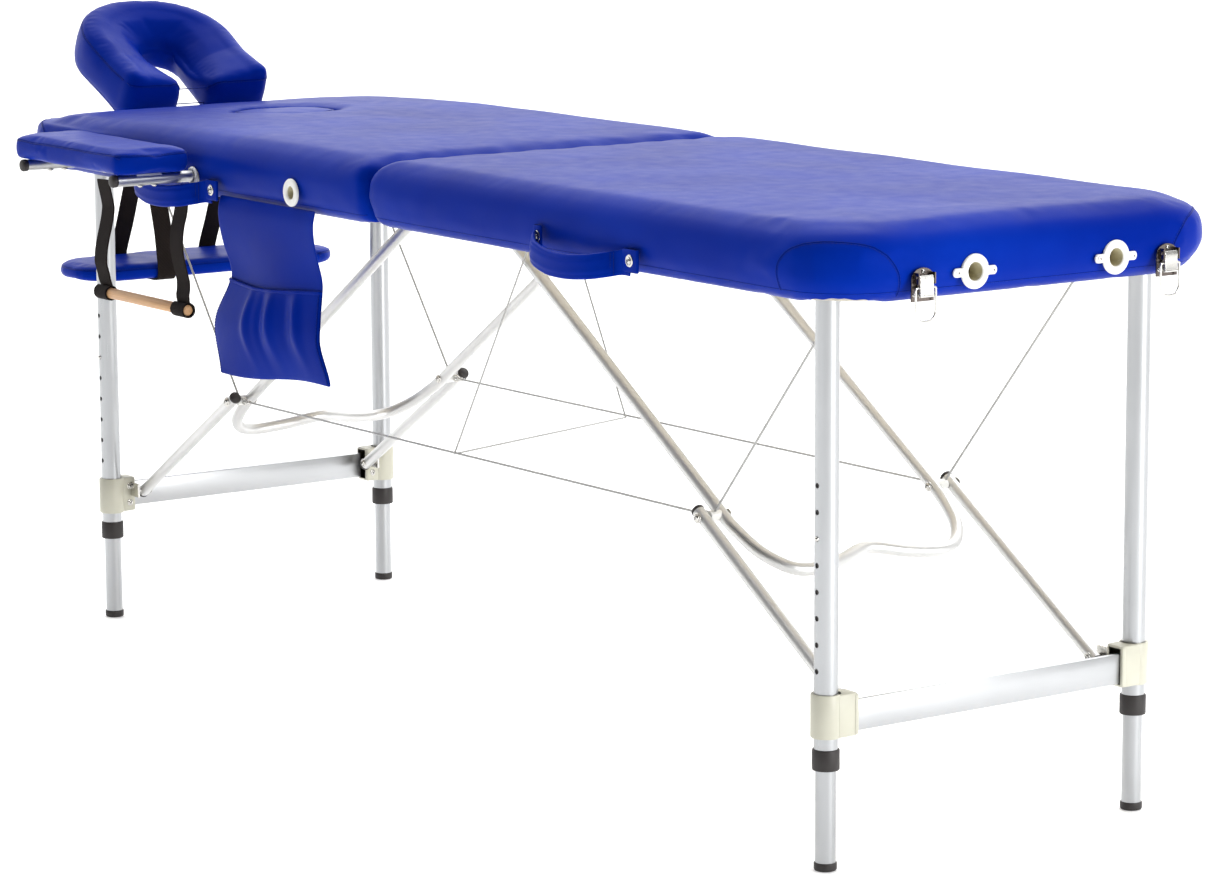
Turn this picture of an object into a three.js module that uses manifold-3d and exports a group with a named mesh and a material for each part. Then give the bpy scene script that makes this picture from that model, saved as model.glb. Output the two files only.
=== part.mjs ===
// Portable folding massage table with headrest, armrest, hanging arm shelf, towel bar and pocket.
// Millimetres, +Z up. Inside the table group, x = 0 is the fold line, +X is the foot end,
// -Y is the near long side and z = 0 is the floor. The whole group is then centred on its base.

import * as THREE from 'three';
import { mergeVertices } from 'three/addons/utils/BufferGeometryUtils.js';
import Module from 'manifold-3d';

const wasm = await Module();
wasm.setup();

// ---- driving dimensions ----
const ORIGIN_SHIFT = [120.43, 64, 0];

const RIM_Z = 665;
const TOP_Z = 748;
const HALF_LENGTH = 965;
const HALF_WIDTH = 287;
const DECK_INSET = 9;
const RAIL = 16;
const DECK_TOP = 726;
const CEILING = 722;
const END_RADIUS = 100;
const FOLD_GAP = 1;
const GAP = 0.3;

const HINGE_Z = 660.5;
const HINGE_HALF = 240;
const KNUCKLES = 5;
const KNUCKLE_R = 3.5;
const PIN_R = 1.6;
const LEAF_WIDTH = 30;

const LEG_Y = 234;
const LEG_X = { foot: 887, head: -827 };
const LEG_R = 14;
const LEG_BORE = 12.8;
const LEG_TOP = 697;
const INNER_R = 12;
const INNER_BORE = 10.4;
const INNER_TOP = 430;
const CAP_R = 13.5;
const COLLAR = { r: 16, low: 118.6, high: 143.5 };
const HOLES = { first: 235, pitch: 30.7, count: 8, used: 5, r: 3.3 };
const LEG_PIVOT = { in: 5, z: 689, r: 3.5 };

const CLAMP = { r: 17.5, low: 157, high: 208 };
const STRUT_PIVOT = { in: 26, z: 190, r: 3 };
const BAR = { out: 10, thick: 7, low: 161.5, high: 198.5, half: 214 };

const BRACE_R = 8;
const BRACE_Y = 163;
const STRUT_Y = 192;
const BRACE_TOP = { foot: [67, 697], head: [-40, 690] };
const KNEE = { foot: [592, 362], head: [-539, 355.3] };
const BRACE_PIN_R = 3;

const CABLE_R = 1.5;
const CABLE_Y = 178;
const CABLE_SIDES = 6;
const ELASTIC_R = 1.2;

const SOCKET_Z = 691.5;
const SOCKET_Y = 8;
const SOCKET_HALF = 105;
const SOCKET_R = 10.5;
const SIDE_SOCKETS = [-177, -441, -705];
const SIDE_SOCKET_R = 8.6;
const FACE_HOLE = { x: -705, r: 77, step: 70 };

const CRADLE = { peg: 9, cross: -1010, pivot: [-1058, 704], tilt: 26.5, centre: [-1107, 17, 790] };
const CUSHION = { half: 133, long: 129, thick: 68, bar: 52, round: 16 };
const ARMREST = { x0: -735, x1: -412, y0: -430, y1: -315, low: 700, high: 732, rod: 8 };
const SHELF = { x: -1020, y: 26, half: 75, long: 222, low: 478, high: 502, strap: 78 };
const WEBBING = { thick: 2.5, wide: 30 };
const TOWEL_BAR = { x0: -735, x1: -480, y: -292, z: 500, r: 7.7, straps: [-720, -495] };
const POCKET = { x0: -398, x1: -108, y: -299, top: 662.5, mouth: 546, low: 430, deep: 15 };
const HANDLE = { foot: [402, 620], head: [-585, -362], low: 667, high: 683, out: 28, thick: 6 };
const LATCH = { half: 182, x: 979.5, plate: 2.5, wide: 32, low: 664, high: 702 };

// ---- materials ----
const paint = (color, roughness, metalness) =>
  new THREE.MeshStandardMaterial({ color, roughness, metalness });
const vinyl = paint(0x0a28a0, 0.42, 0);
const aluminium = paint(0xc4c8cc, 0.38, 0.9);
const steel = paint(0xa8a8a6, 0.3, 1);
const wood = paint(0xcaa676, 0.6, 0);
const cream = paint(0xd6d4ba, 0.5, 0);
const black = paint(0x1c1818, 0.6, 0);
const webbing = paint(0x120c0a, 0.85, 0);
const wire = paint(0xd0d2d2, 0.4, 0.8);

// ---- shape helpers ----
function toSolid(geometry) {
  const bare = geometry.clone();
  for (const name of ['normal', 'uv']) bare.deleteAttribute(name);
  const welded = mergeVertices(bare, 1e-4);
  return new wasm.Manifold(new wasm.Mesh({
    numProp: 3,
    vertProperties: new Float32Array(welded.attributes.position.array),
    triVerts: new Uint32Array(welded.index.array),
  }));
}

function toGeometry(solid) {
  const { vertProperties, triVerts } = solid.getMesh();
  const geometry = new THREE.BufferGeometry();
  geometry.setAttribute('position', new THREE.BufferAttribute(vertProperties, 3));
  geometry.setIndex(new THREE.BufferAttribute(triVerts, 1));
  return geometry;
}

const join = (first, ...rest) =>
  toGeometry(rest.reduce((sum, g) => sum.add(toSolid(g)), toSolid(first)));
const cut = (first, ...rest) =>
  toGeometry(rest.reduce((sum, g) => sum.subtract(toSolid(g)), toSolid(first)));

function box(x0, x1, y0, y1, z0, z1) {
  const geometry = new THREE.BoxGeometry(Math.abs(x1 - x0), Math.abs(y1 - y0), Math.abs(z1 - z0));
  return geometry.translate((x0 + x1) / 2, (y0 + y1) / 2, (z0 + z1) / 2);
}

// A round bar between two points.
function bar(from, to, r, sides = 16) {
  const a = new THREE.Vector3(...from);
  const span = new THREE.Vector3(...to).sub(a);
  const geometry = new THREE.CylinderGeometry(r, r, span.length(), sides);
  const turn = new THREE.Quaternion().setFromUnitVectors(
    new THREE.Vector3(0, 1, 0), span.clone().normalize());
  return geometry.applyQuaternion(turn).translate(...a.addScaledVector(span, 0.5).toArray());
}

// A profile of [radius, z] points turned about a vertical axis.
function turned(profile, sides = 16) {
  const points = profile.map(([r, z]) => new THREE.Vector2(r, z));
  return new THREE.LatheGeometry(points, sides).rotateX(Math.PI / 2);
}

// A round wire or tube whose centre line lies in one plane with the given normal.
function planarTube(points, normal, r, sides) {
  const rings = points.map((point, i) => {
    const before = points[Math.max(i - 1, 0)];
    const after = points[Math.min(i + 1, points.length - 1)];
    const across = after.clone().sub(before).normalize().cross(normal);
    return Array.from({ length: sides }, (_, k) => {
      const a = (2 * Math.PI * k) / sides;
      return point.clone().addScaledVector(normal, r * Math.cos(a))
        .addScaledVector(across, r * Math.sin(a)).toArray();
    });
  });
  return loft(rings);
}

// A flat outline in two axes, extruded along the third: 'xz' runs along Y and 'yz' along X.
function slab(shape, from, to, plane = 'xy', curveSegments = 8) {
  const geometry = new THREE.ExtrudeGeometry(
    shape, { depth: to - from, bevelEnabled: false, curveSegments });
  if (plane === 'xz') return geometry.rotateX(Math.PI / 2).translate(0, to, 0);
  geometry.translate(0, 0, from);
  return plane === 'yz' ? geometry.rotateY(Math.PI / 2).rotateX(Math.PI / 2) : geometry;
}

// The plan outline of one half of the table: large corners at its end, small ones at the fold.
function planPoints(side, inner, outer, halfY, endR, foldR) {
  const corners = [
    [outer - endR, -halfY + endR, endR, -90, 6],
    [outer - endR, halfY - endR, endR, 0, 6],
    [inner + foldR, halfY - foldR, foldR, 90, 3],
    [inner + foldR, -halfY + foldR, foldR, 180, 3],
  ];
  const points = [];
  for (const [cx, cy, r, start, steps] of corners) {
    for (let i = 0; i <= steps; i++) {
      const a = THREE.MathUtils.degToRad(start + (90 * i) / steps);
      points.push(new THREE.Vector2(side * (cx + r * Math.cos(a)), cy + r * Math.sin(a)));
    }
  }
  return side > 0 ? points : points.reverse();
}

function planSlab(side, inset, z0, z1) {
  const points = planPoints(side, FOLD_GAP + DECK_INSET - 2 + inset,
    HALF_LENGTH - DECK_INSET - inset, HALF_WIDTH - DECK_INSET - inset,
    END_RADIUS - DECK_INSET + 1 - inset, Math.max(8 - inset, 3));
  return slab(new THREE.Shape(points), z0, z1);
}

// A closed skin through rings of equal length, capped flat at both ends.
function loft(rings) {
  const n = rings[0].length;
  const positions = rings.flat().flat();
  const index = [];
  for (let r = 0; r < rings.length - 1; r++) {
    for (let i = 0; i < n; i++) {
      const [a, b] = [r * n + i, r * n + ((i + 1) % n)];
      index.push(a, b, b + n, a, b + n, a + n);
    }
  }
  const cap = (ring, start, up) => {
    const centre = [0, 1, 2].map((k) => ring.reduce((s, p) => s + p[k], 0) / n);
    const c = positions.length / 3;
    positions.push(...centre);
    for (let i = 0; i < n; i++) {
      const [a, b] = [start + i, start + ((i + 1) % n)];
      index.push(...(up ? [a, b, c] : [b, a, c]));
    }
  };
  cap(rings[0], 0, false);
  cap(rings.at(-1), (rings.length - 1) * n, true);
  const geometry = new THREE.BufferGeometry();
  geometry.setAttribute('position', new THREE.Float32BufferAttribute(positions, 3));
  geometry.setIndex(index);
  return geometry;
}

const mirrorOf = { foot: 1, head: -1 };
const sides = { near: -1, far: 1 };
const table = new THREE.Group();

function add(name, geometry, material) {
  const mesh = new THREE.Mesh(geometry, material);
  mesh.name = name;
  table.add(mesh);
  return mesh;
}

// ---- the two halves of the top ----
const socketBore = (side) => [-1, 1].map((k) => {
  const y = SOCKET_Y + k * SOCKET_HALF;
  return bar([side * 925, y, SOCKET_Z], [side * 1000, y, SOCKET_Z], SOCKET_R);
});
const sideBores = () => SIDE_SOCKETS.map((x) =>
  bar([x, -250, SOCKET_Z], [x, -320, SOCKET_Z], SIDE_SOCKET_R));

function legLugs(end) {
  const x = LEG_X[end] - mirrorOf[end] * LEG_PIVOT.in;
  const parts = [];
  for (const s of [-1, 1]) {
    for (const y of [LEG_Y - 18.5, LEG_Y + 14.5]) {
      parts.push(box(x - 12, x + 12, s * y, s * (y + 4), 679, CEILING + 1));
    }
    parts.push(bar([x, s * (LEG_Y - 17), LEG_PIVOT.z], [x, s * (LEG_Y + 17), LEG_PIVOT.z],
      LEG_PIVOT.r));
  }
  return parts;
}

function braceLugs(end) {
  const [x, z] = BRACE_TOP[end];
  const parts = [];
  for (const s of [-1, 1]) {
    const y = BRACE_Y + BRACE_R + 2.5;
    parts.push(box(x - 10, x + 10, s * y, s * (y + 4), z - 10, CEILING + 1));
    parts.push(bar([x, s * (BRACE_Y - 9), z], [x, s * (y + 2), z], BRACE_PIN_R));
  }
  return parts;
}

function deckFrame(end) {
  const side = mirrorOf[end];
  let frame = cut(planSlab(side, 0, RIM_Z, DECK_TOP), planSlab(side, RAIL, RIM_Z - 5, CEILING));
  frame = join(frame, ...legLugs(end), ...braceLugs(end));
  frame = cut(frame, ...socketBore(side));
  if (end === 'foot') return frame;
  const hole = bar([FACE_HOLE.x, 0, CEILING - 10], [FACE_HOLE.x, 0, TOP_Z + 10], FACE_HOLE.step, 28);
  return cut(frame, hole, ...sideBores());
}

// Each level: height, how far the sides and the end stand out, the corner radius, and how far
// the edge at the fold draws back.
const PAD_LEVELS = [
  [RIM_Z, 0, END_RADIUS, 0], [676, 9, 92, 0], [690, 14, 86, 0], [715, 15, 86, 0],
  [730, 11, 88, 0], [740, 2, 90, 7], [745.5, -10, 90, 17], [TOP_Z, -30, 84, 36],
];

function pad(end) {
  const side = mirrorOf[end];
  const rings = PAD_LEVELS.map(([z, out, r, fold]) =>
    planPoints(side, FOLD_GAP + fold, HALF_LENGTH + out, HALF_WIDTH + out, r, 10)
      .map((p) => [p.x, p.y, z]));
  let skin = cut(loft(rings), planSlab(side, -GAP, RIM_Z - 5, DECK_TOP + GAP));
  skin = cut(skin, ...socketBore(side));
  if (end === 'foot') return skin;
  const hole = bar([FACE_HOLE.x, 0, RIM_Z], [FACE_HOLE.x, 0, TOP_Z + 10], FACE_HOLE.r, 28);
  return cut(skin, hole, ...sideBores());
}

for (const end of ['head', 'foot']) {
  add(`${end}_deck`, deckFrame(end), wood);
  add(`${end}_pad`, pad(end), vinyl);
}

const plug = turned([[0, 716], [FACE_HOLE.step - 0.6, 716], [FACE_HOLE.step - 0.6, DECK_TOP + 0.6],
  [FACE_HOLE.r - 0.6, DECK_TOP + 0.6], [FACE_HOLE.r - 0.6, 743], [72, TOP_Z - 0.5], [0, TOP_Z]], 28);
add('face_plug', plug, vinyl).position.set(FACE_HOLE.x, 0, 0);

// ---- the hinge under the fold ----
const knucklePitch = (2 * HINGE_HALF) / KNUCKLES;
function leaf(side, parity) {
  const [top, low] = [HINGE_Z + KNUCKLE_R, HINGE_Z + KNUCKLE_R - 1.4];
  let plate = box(side * 4.2, side * LEAF_WIDTH, -HINGE_HALF, HINGE_HALF, low, top);
  for (let i = parity; i < KNUCKLES; i += 2) {
    const y0 = -HINGE_HALF + i * knucklePitch + 0.5;
    const y1 = y0 + knucklePitch - 1;
    plate = join(plate, box(0, side * 5, y0, y1, low, top),
      bar([0, y0, HINGE_Z], [0, y1, HINGE_Z], KNUCKLE_R, 12));
  }
  return cut(plate, bar([0, -HINGE_HALF - 5, HINGE_Z], [0, HINGE_HALF + 5, HINGE_Z], PIN_R + GAP, 12));
}
add('hinge_head_leaf', leaf(-1, 0), steel);
add('hinge_foot_leaf', leaf(1, 1), steel);
add('hinge_pin', bar([0, -HINGE_HALF - 1, HINGE_Z], [0, HINGE_HALF + 1, HINGE_Z], PIN_R, 12), steel);

// ---- legs ----
function outerLeg(end, s) {
  const tube = turned([[0, LEG_TOP], [LEG_R, LEG_TOP], [LEG_R, COLLAR.high], [COLLAR.r, COLLAR.high],
    [COLLAR.r, COLLAR.low], [LEG_BORE, COLLAR.low], [LEG_BORE, 560], [0, 560]].reverse());
  const px = -mirrorOf[end] * LEG_PIVOT.in;
  const cuts = [bar([px, -20, LEG_PIVOT.z], [px, 20, LEG_PIVOT.z], LEG_PIVOT.r + 0.4, 12)];
  for (let i = 0; i < HOLES.count; i++) {
    const z = HOLES.first + i * HOLES.pitch;
    cuts.push(bar([0, s * 6, z], [0, s * 20, z], HOLES.r, 8));
  }
  return cut(tube, ...cuts);
}

// The inner leg has a keyway, so that it slides past the button in the outer leg's hole.
const usedHole = HOLES.first + HOLES.used * HOLES.pitch;
const keywayLow = usedHole - 2 * HOLES.pitch - HOLES.r - 0.5;
function innerLeg(s) {
  const tube = turned([[0, 0], [CAP_R, 0], [CAP_R, 6], [INNER_R, 6], [INNER_R, INNER_TOP],
    [INNER_BORE, INNER_TOP], [INNER_BORE, 12], [0, 12]]);
  return cut(tube, box(-HOLES.r, HOLES.r, s * 5, s * 20, keywayLow, INNER_TOP + 5));
}

const snapButton = (s) => join(
  bar([0, s * 6, usedHole], [0, s * 16.5, usedHole], HOLES.r - GAP, 8),
  bar([0, s * 5, usedHole], [0, s * 7, usedHole], 4.5, 8));

// The clamp holds the crossbar's end and carries the strut's pivot on a lug.
function clamp(end, s) {
  const m = mirrorOf[end];
  const body = join(bar([0, 0, CLAMP.low], [0, 0, CLAMP.high], CLAMP.r, 20),
    box(-11 * m, 17 * m, -s * 8, -s * 34, CLAMP.low, CLAMP.high),
    box(-m * (STRUT_PIVOT.in + 8), -m * 8, -s * 20, -s * 31, 180, 200),
    bar([-m * STRUT_PIVOT.in, -s * 26, STRUT_PIVOT.z], [-m * STRUT_PIVOT.in, -s * 51.5,
      STRUT_PIVOT.z], STRUT_PIVOT.r, 12));
  const slot = box(m * (BAR.out - BAR.thick / 2 - GAP), m * (BAR.out + BAR.thick / 2 + GAP),
    -s * (LEG_Y - BAR.half - GAP), -s * 60, BAR.low - GAP, BAR.high + GAP);
  return cut(body, bar([0, 0, 150], [0, 0, 215], LEG_R + GAP, 20), slot);
}

for (const end of ['head', 'foot']) {
  for (const [side, s] of Object.entries(sides)) {
    const pieces = {
      leg_outer: [outerLeg(end, s), aluminium],
      leg_inner: [innerLeg(s), aluminium],
      snap_button: [snapButton(s), steel],
      leg_clamp: [clamp(end, s), cream],
    };
    for (const [name, [geometry, material]] of Object.entries(pieces)) {
      add(`${end}_${side}_${name}`, geometry, material).position.set(LEG_X[end], s * LEG_Y, 0);
    }
  }
  const x = LEG_X[end] + mirrorOf[end] * BAR.out;
  add(`${end}_crossbar`,
    box(x - BAR.thick / 2, x + BAR.thick / 2, -BAR.half, BAR.half, BAR.low, BAR.high), aluminium);
}

// ---- folding braces: one bent tube per end above, two struts below ----
// Along the slope past the knee, and across: the wave that joins the two arms.
const WAVE = [[6, 163], [34, 160], [72, 150], [102, 126], [110, 96], [103, 52], [88, 0]];

function brace(end) {
  const top = new THREE.Vector3(BRACE_TOP[end][0], 0, BRACE_TOP[end][1]);
  const knee = new THREE.Vector3(KNEE[end][0], 0, KNEE[end][1]);
  const slope = knee.clone().sub(top).normalize();
  const at = ([u, y]) => knee.clone().addScaledVector(slope, u).setY(y);
  const start = top.clone().addScaledVector(slope, -BRACE_R - 1);
  const half = [[-60, BRACE_Y], [-25, BRACE_Y], ...WAVE.slice(0, -1)];
  const wave = [...half, WAVE.at(-1), ...half.toReversed().map(([u, y]) => [u, -y])];
  const curve = new THREE.CatmullRomCurve3(wave.map(at), false, 'centripetal');
  const points = [start.clone().setY(BRACE_Y), ...curve.getSpacedPoints(30),
    start.clone().setY(-BRACE_Y)];
  const normal = slope.clone().cross(new THREE.Vector3(0, 1, 0)).normalize();
  let tube = planarTube(points, normal, BRACE_R, 8);
  const bosses = [-1, 1].flatMap((s) => [
    bar([knee.x, s * (BRACE_Y + 5), knee.z], [knee.x, s * 183, knee.z], 7, 12),
    bar([knee.x, s * (BRACE_Y - 5), knee.z], [knee.x, s * 149, knee.z], 5, 6)]);
  tube = join(tube, ...bosses);
  const holes = [-1, 1].map((s) =>
    bar([top.x, s * 150, top.z], [top.x, s * 176, top.z], BRACE_PIN_R + 0.4, 12));
  return cut(tube, ...holes);
}

function strut(end, s) {
  const m = mirrorOf[end];
  const knee = new THREE.Vector3(KNEE[end][0], s * STRUT_Y, KNEE[end][1]);
  const foot = new THREE.Vector3(LEG_X[end] - m * STRUT_PIVOT.in, s * STRUT_Y, STRUT_PIVOT.z);
  const slope = foot.clone().sub(knee).normalize();
  const from = knee.clone().addScaledVector(slope, -12);
  const to = foot.clone().addScaledVector(slope, 9);
  const tube = bar(from.toArray(), to.toArray(), BRACE_R, 12);
  const head = bar([knee.x, s * (STRUT_Y + 6), knee.z], [knee.x, s * 205, knee.z], 6, 12);
  const hole = bar([foot.x, s * 180, foot.z], [foot.x, s * 204, foot.z], STRUT_PIVOT.r + 0.4, 12);
  return cut(join(tube, head), hole);
}

for (const end of ['head', 'foot']) {
  add(`${end}_brace`, brace(end), aluminium);
  for (const [side, s] of Object.entries(sides)) {
    add(`${end}_${side}_strut`, strut(end, s), aluminium);
  }
}

// ---- cables and the elastic cord, held at both ends ----
function taut(from, to, clear, r) {
  const a = new THREE.Vector3(...from);
  const b = new THREE.Vector3(...to);
  const along = b.clone().sub(a).normalize();
  a.addScaledVector(along, clear);
  return bar(a.toArray(), b.toArray(), r, CABLE_SIDES);
}

const CABLE_TOP = { foot: 893, head: -813 };
for (const [side, s] of Object.entries(sides)) {
  const y = s * CABLE_Y;
  add(`${side}_long_cable`, taut([KNEE.head[0] + 9, y, KNEE.head[1]],
    [KNEE.foot[0] - 9, y, KNEE.foot[1]], 0, CABLE_R), wire);
  for (const end of ['head', 'foot']) {
    add(`${end}_${side}_short_cable`, taut([KNEE[end][0], y, KNEE[end][1]],
      [CABLE_TOP[end], y, 714], 9, CABLE_R), wire);
  }
}
const ELASTIC_ROUTE = [[232, -174.5, 708], [16, -174.5, 356], [-90, 174.5, 356], [-279, 174.5, 708]];
const elastic = new THREE.CurvePath();
for (let i = 1; i < ELASTIC_ROUTE.length; i++) {
  const [a, b] = [ELASTIC_ROUTE[i - 1], ELASTIC_ROUTE[i]];
  elastic.add(new THREE.LineCurve3(new THREE.Vector3(...a), new THREE.Vector3(...b)));
}
add('elastic_cord', join(...elastic.curves.map((c) =>
  bar(c.v1.toArray(), c.v2.toArray(), ELASTIC_R, CABLE_SIDES)),
...ELASTIC_ROUTE.slice(1, 3).map((p) =>
  new THREE.SphereGeometry(ELASTIC_R + 0.2, 6, 4).translate(...p))), wire);

// ---- headrest ----
const tilt = THREE.MathUtils.degToRad(CRADLE.tilt);
const [pivotX, pivotZ] = CRADLE.pivot;
{
  const parts = [];
  for (const k of [-1, 1]) {
    const y = SOCKET_Y + k * SOCKET_HALF;
    parts.push(bar([-932, y, SOCKET_Z], [CRADLE.cross, y, SOCKET_Z], CRADLE.peg));
    const arm = new THREE.Shape([[CRADLE.cross + 6, 684], [CRADLE.cross + 6, 697],
      [pivotX + 2, pivotZ + 6], [pivotX - 6, pivotZ + 5], [pivotX - 8, pivotZ - 5],
      [pivotX, pivotZ - 8]].map((p) => new THREE.Vector2(...p)));
    parts.push(slab(arm, SOCKET_Y + k * 60 - 2.5, SOCKET_Y + k * 60 + 2.5, 'xz'));
  }
  const [y0, y1] = [SOCKET_Y - 125, SOCKET_Y + 125];
  parts.push(bar([CRADLE.cross, y0, SOCKET_Z], [CRADLE.cross, y1, SOCKET_Z], CRADLE.peg));
  parts.push(bar([pivotX, SOCKET_Y - 66, pivotZ], [pivotX, SOCKET_Y + 66, pivotZ], 4, 12));
  add('headrest_frame', join(...parts), aluminium);

  const lever = join(bar([pivotX, SOCKET_Y - 66.5, pivotZ], [pivotX, SOCKET_Y - 76, pivotZ], 9, 12),
    box(pivotX - 5, pivotX + 5, SOCKET_Y - 76, SOCKET_Y - 69, pivotZ - 46, pivotZ));
  add('headrest_lever', lever, black);
}

// The horseshoe plate and cushion lie in one tilted plane: u runs away from the table.
function horseshoe(half, long, bar, corner) {
  const shape = new THREE.Shape();
  const gapHalf = half - 2 * bar;
  shape.moveTo(-long + corner, -half);
  shape.lineTo(long - half * 0.75, -half);
  shape.bezierCurveTo(long - half * 0.2, -half, long, -half * 0.55, long, 0);
  shape.bezierCurveTo(long, half * 0.55, long - half * 0.2, half, long - half * 0.75, half);
  shape.lineTo(-long + corner, half);
  shape.quadraticCurveTo(-long, half, -long, half - corner);
  shape.lineTo(-long, gapHalf + corner);
  shape.quadraticCurveTo(-long, gapHalf, -long + corner, gapHalf);
  shape.lineTo(long - 2 * bar - gapHalf, gapHalf);
  shape.quadraticCurveTo(long - 2 * bar, gapHalf, long - 2 * bar, 0);
  shape.quadraticCurveTo(long - 2 * bar, -gapHalf, long - 2 * bar - gapHalf, -gapHalf);
  shape.lineTo(-long + corner, -gapHalf);
  shape.quadraticCurveTo(-long, -gapHalf, -long, -gapHalf - corner);
  shape.lineTo(-long, -half + corner);
  shape.quadraticCurveTo(-long, -half, -long + corner, -half);
  return shape;
}

// Places a geometry drawn in (u, y, n) about the cushion's centre.
function tilted(geometry, y) {
  return geometry.rotateZ(Math.PI).rotateY(tilt).translate(CRADLE.centre[0], y, CRADLE.centre[2]);
}

{
  const thick = CUSHION.thick / 2;
  const round = CUSHION.round;
  const core = horseshoe(CUSHION.half - round, CUSHION.long - round, CUSHION.bar - round, 16);
  const cushion = new THREE.ExtrudeGeometry(core, { depth: 2 * (thick - round), curveSegments: 5,
    bevelThickness: round, bevelSize: round, bevelSegments: 2 }).translate(0, 0, round - thick);
  add('headrest_cushion', tilted(cushion, CRADLE.centre[1]), vinyl);
  const plate = slab(horseshoe(118, 80, 36, 16), -thick - 9, -thick - 1, 'xy', 4);
  const lugs = [-1, 1].map((k) => {
    const lug = new THREE.Shape([[pivotX - 9, pivotZ - 5], [pivotX - 5, pivotZ - 8],
      [pivotX + 5, pivotZ - 8], [pivotX + 8, pivotZ - 4], [pivotX + 8, pivotZ + 4],
      [pivotX + 1, pivotZ + 17], [pivotX - 22, pivotZ + 29]].map((p) => new THREE.Vector2(...p)));
    const y = SOCKET_Y + k * 52;
    return slab(lug, y - 3, y + 3, 'xz');
  });
  const hole = bar([pivotX, -80, pivotZ], [pivotX, 100, pivotZ], 4.4, 12);
  add('headrest_platform', cut(join(tilted(plate, SOCKET_Y), ...lugs), hole), black);
}

// ---- armrest on two rods ----
{
  const a = ARMREST;
  const rods = SIDE_SOCKETS.slice(1).map((x) =>
    bar([x, a.y0 + 8, SOCKET_Z], [x, -258, SOCKET_Z], a.rod, 14));
  const tie = box(SIDE_SOCKETS[2] - 6, SIDE_SOCKETS[1] + 6, -392, -352, 693, a.low - GAP);
  add('armrest_frame', join(...rods, tie), aluminium);
  const r = 22;
  const outline = new THREE.Shape();
  outline.absarc(a.x1 - r, a.y0 + r, r, -Math.PI / 2, 0);
  outline.absarc(a.x1 - r, a.y1 - r, r, 0, Math.PI / 2);
  outline.absarc(a.x0 + r, a.y1 - r, r, Math.PI / 2, Math.PI);
  outline.absarc(a.x0 + r, a.y0 + r, r, Math.PI, 1.5 * Math.PI);
  add('armrest_pad', slab(outline, a.low, a.high, 'xy', 4), vinyl);
}

// ---- arm shelf in two webbing loops over the headrest's cross tube ----
{
  const s = SHELF;
  const outline = new THREE.Shape();
  const r = 62;
  outline.absarc(s.x + s.half - r, s.y + s.long - r, r, 0, Math.PI / 2);
  outline.absarc(s.x - s.half + r, s.y + s.long - r, r, Math.PI / 2, Math.PI);
  outline.absarc(s.x - s.half + r, s.y - s.long + r, r, Math.PI, 1.5 * Math.PI);
  outline.absarc(s.x + s.half - r, s.y - s.long + r, r, 1.5 * Math.PI, 2 * Math.PI);
  add('arm_shelf', slab(outline, s.low, s.high, 'xy', 6), vinyl);

  const loop = (out) => {
    const r = CRADLE.peg + 2 * GAP + out;
    const points = [];
    for (let i = 0; i <= 6; i++) {
      const a = (Math.PI * i) / 6;
      points.push(new THREE.Vector2(CRADLE.cross + r * Math.cos(a), SOCKET_Z + r * Math.sin(a)));
    }
    const w = s.half + GAP + out;
    for (const [x, z] of [[-w, s.high], [-w, s.low - GAP - out], [w, s.low - GAP - out],
      [w, s.high]]) points.push(new THREE.Vector2(s.x + x, z));
    return points;
  };
  for (const [side, k] of Object.entries(sides)) {
    const band = new THREE.Shape(loop(WEBBING.thick));
    band.holes.push(new THREE.Path(loop(0).reverse()));
    const y = SOCKET_Y + k * s.strap;
    add(`${side}_shelf_strap`, slab(band, y - WEBBING.wide / 2, y + WEBBING.wide / 2, 'xz'), webbing);
  }
}

// ---- towel bar in two webbing loops ----
{
  const b = TOWEL_BAR;
  add('towel_bar', bar([b.x0, b.y, b.z], [b.x1, b.y, b.z], b.r, 14), wood);
  for (const [side, x] of [['head', b.straps[0]], ['foot', b.straps[1]]]) {
    const [half, grip] = [2, b.r + GAP + WEBBING.thick];
    const from = Math.asin(half / grip);
    const outline = new THREE.Shape();
    outline.moveTo(b.y + half, POCKET.top);
    outline.lineTo(b.y - half, POCKET.top);
    outline.absarc(b.y, b.z, grip, Math.PI / 2 + from, 2.5 * Math.PI - from);
    const eye = new THREE.Path();
    eye.absarc(b.y, b.z, b.r + GAP, 0, 2 * Math.PI);
    outline.holes.push(eye);
    const [x0, x1] = [x - WEBBING.wide / 2, x + WEBBING.wide / 2];
    add(`towel_bar_${side}_strap`, slab(outline, x0, x1, 'yz', 12), webbing);
  }
}

// ---- pocket flap and carry handles on the near side ----
{
  const p = POCKET;
  const flap = box(p.x0, p.x1, p.y - 3, p.y, p.low, p.top);
  const pouch = box(p.x0 + 6, p.x1 - 6, p.y - p.deep, p.y - 1, p.low, p.mouth);
  const hollow = box(p.x0 + 9, p.x1 - 9, p.y - p.deep + 2, p.y - 3, p.low + 3, p.mouth + 10);
  add('pocket', join(cut(pouch, hollow), flap), vinyl);
}

for (const end of ['head', 'foot']) {
  const [x0, x1] = HANDLE[end];
  const wall = -HALF_WIDTH - 16.5;
  const [out, t] = [HANDLE.out, HANDLE.thick];
  const outline = new THREE.Shape([[x0, wall], [x0, wall - 4], [x0 + 16, wall - 5],
    [x0 + 46, wall - out], [x1 - 46, wall - out], [x1 - 16, wall - 5], [x1, wall - 4], [x1, wall],
    [x1 - 18, wall], [x1 - 48, wall - out + t], [x0 + 48, wall - out + t], [x0 + 18, wall],
  ].map((p) => new THREE.Vector2(...p)));
  add(`${end}_carry_handle`, slab(outline, HANDLE.low, HANDLE.high), vinyl);
}

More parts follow.
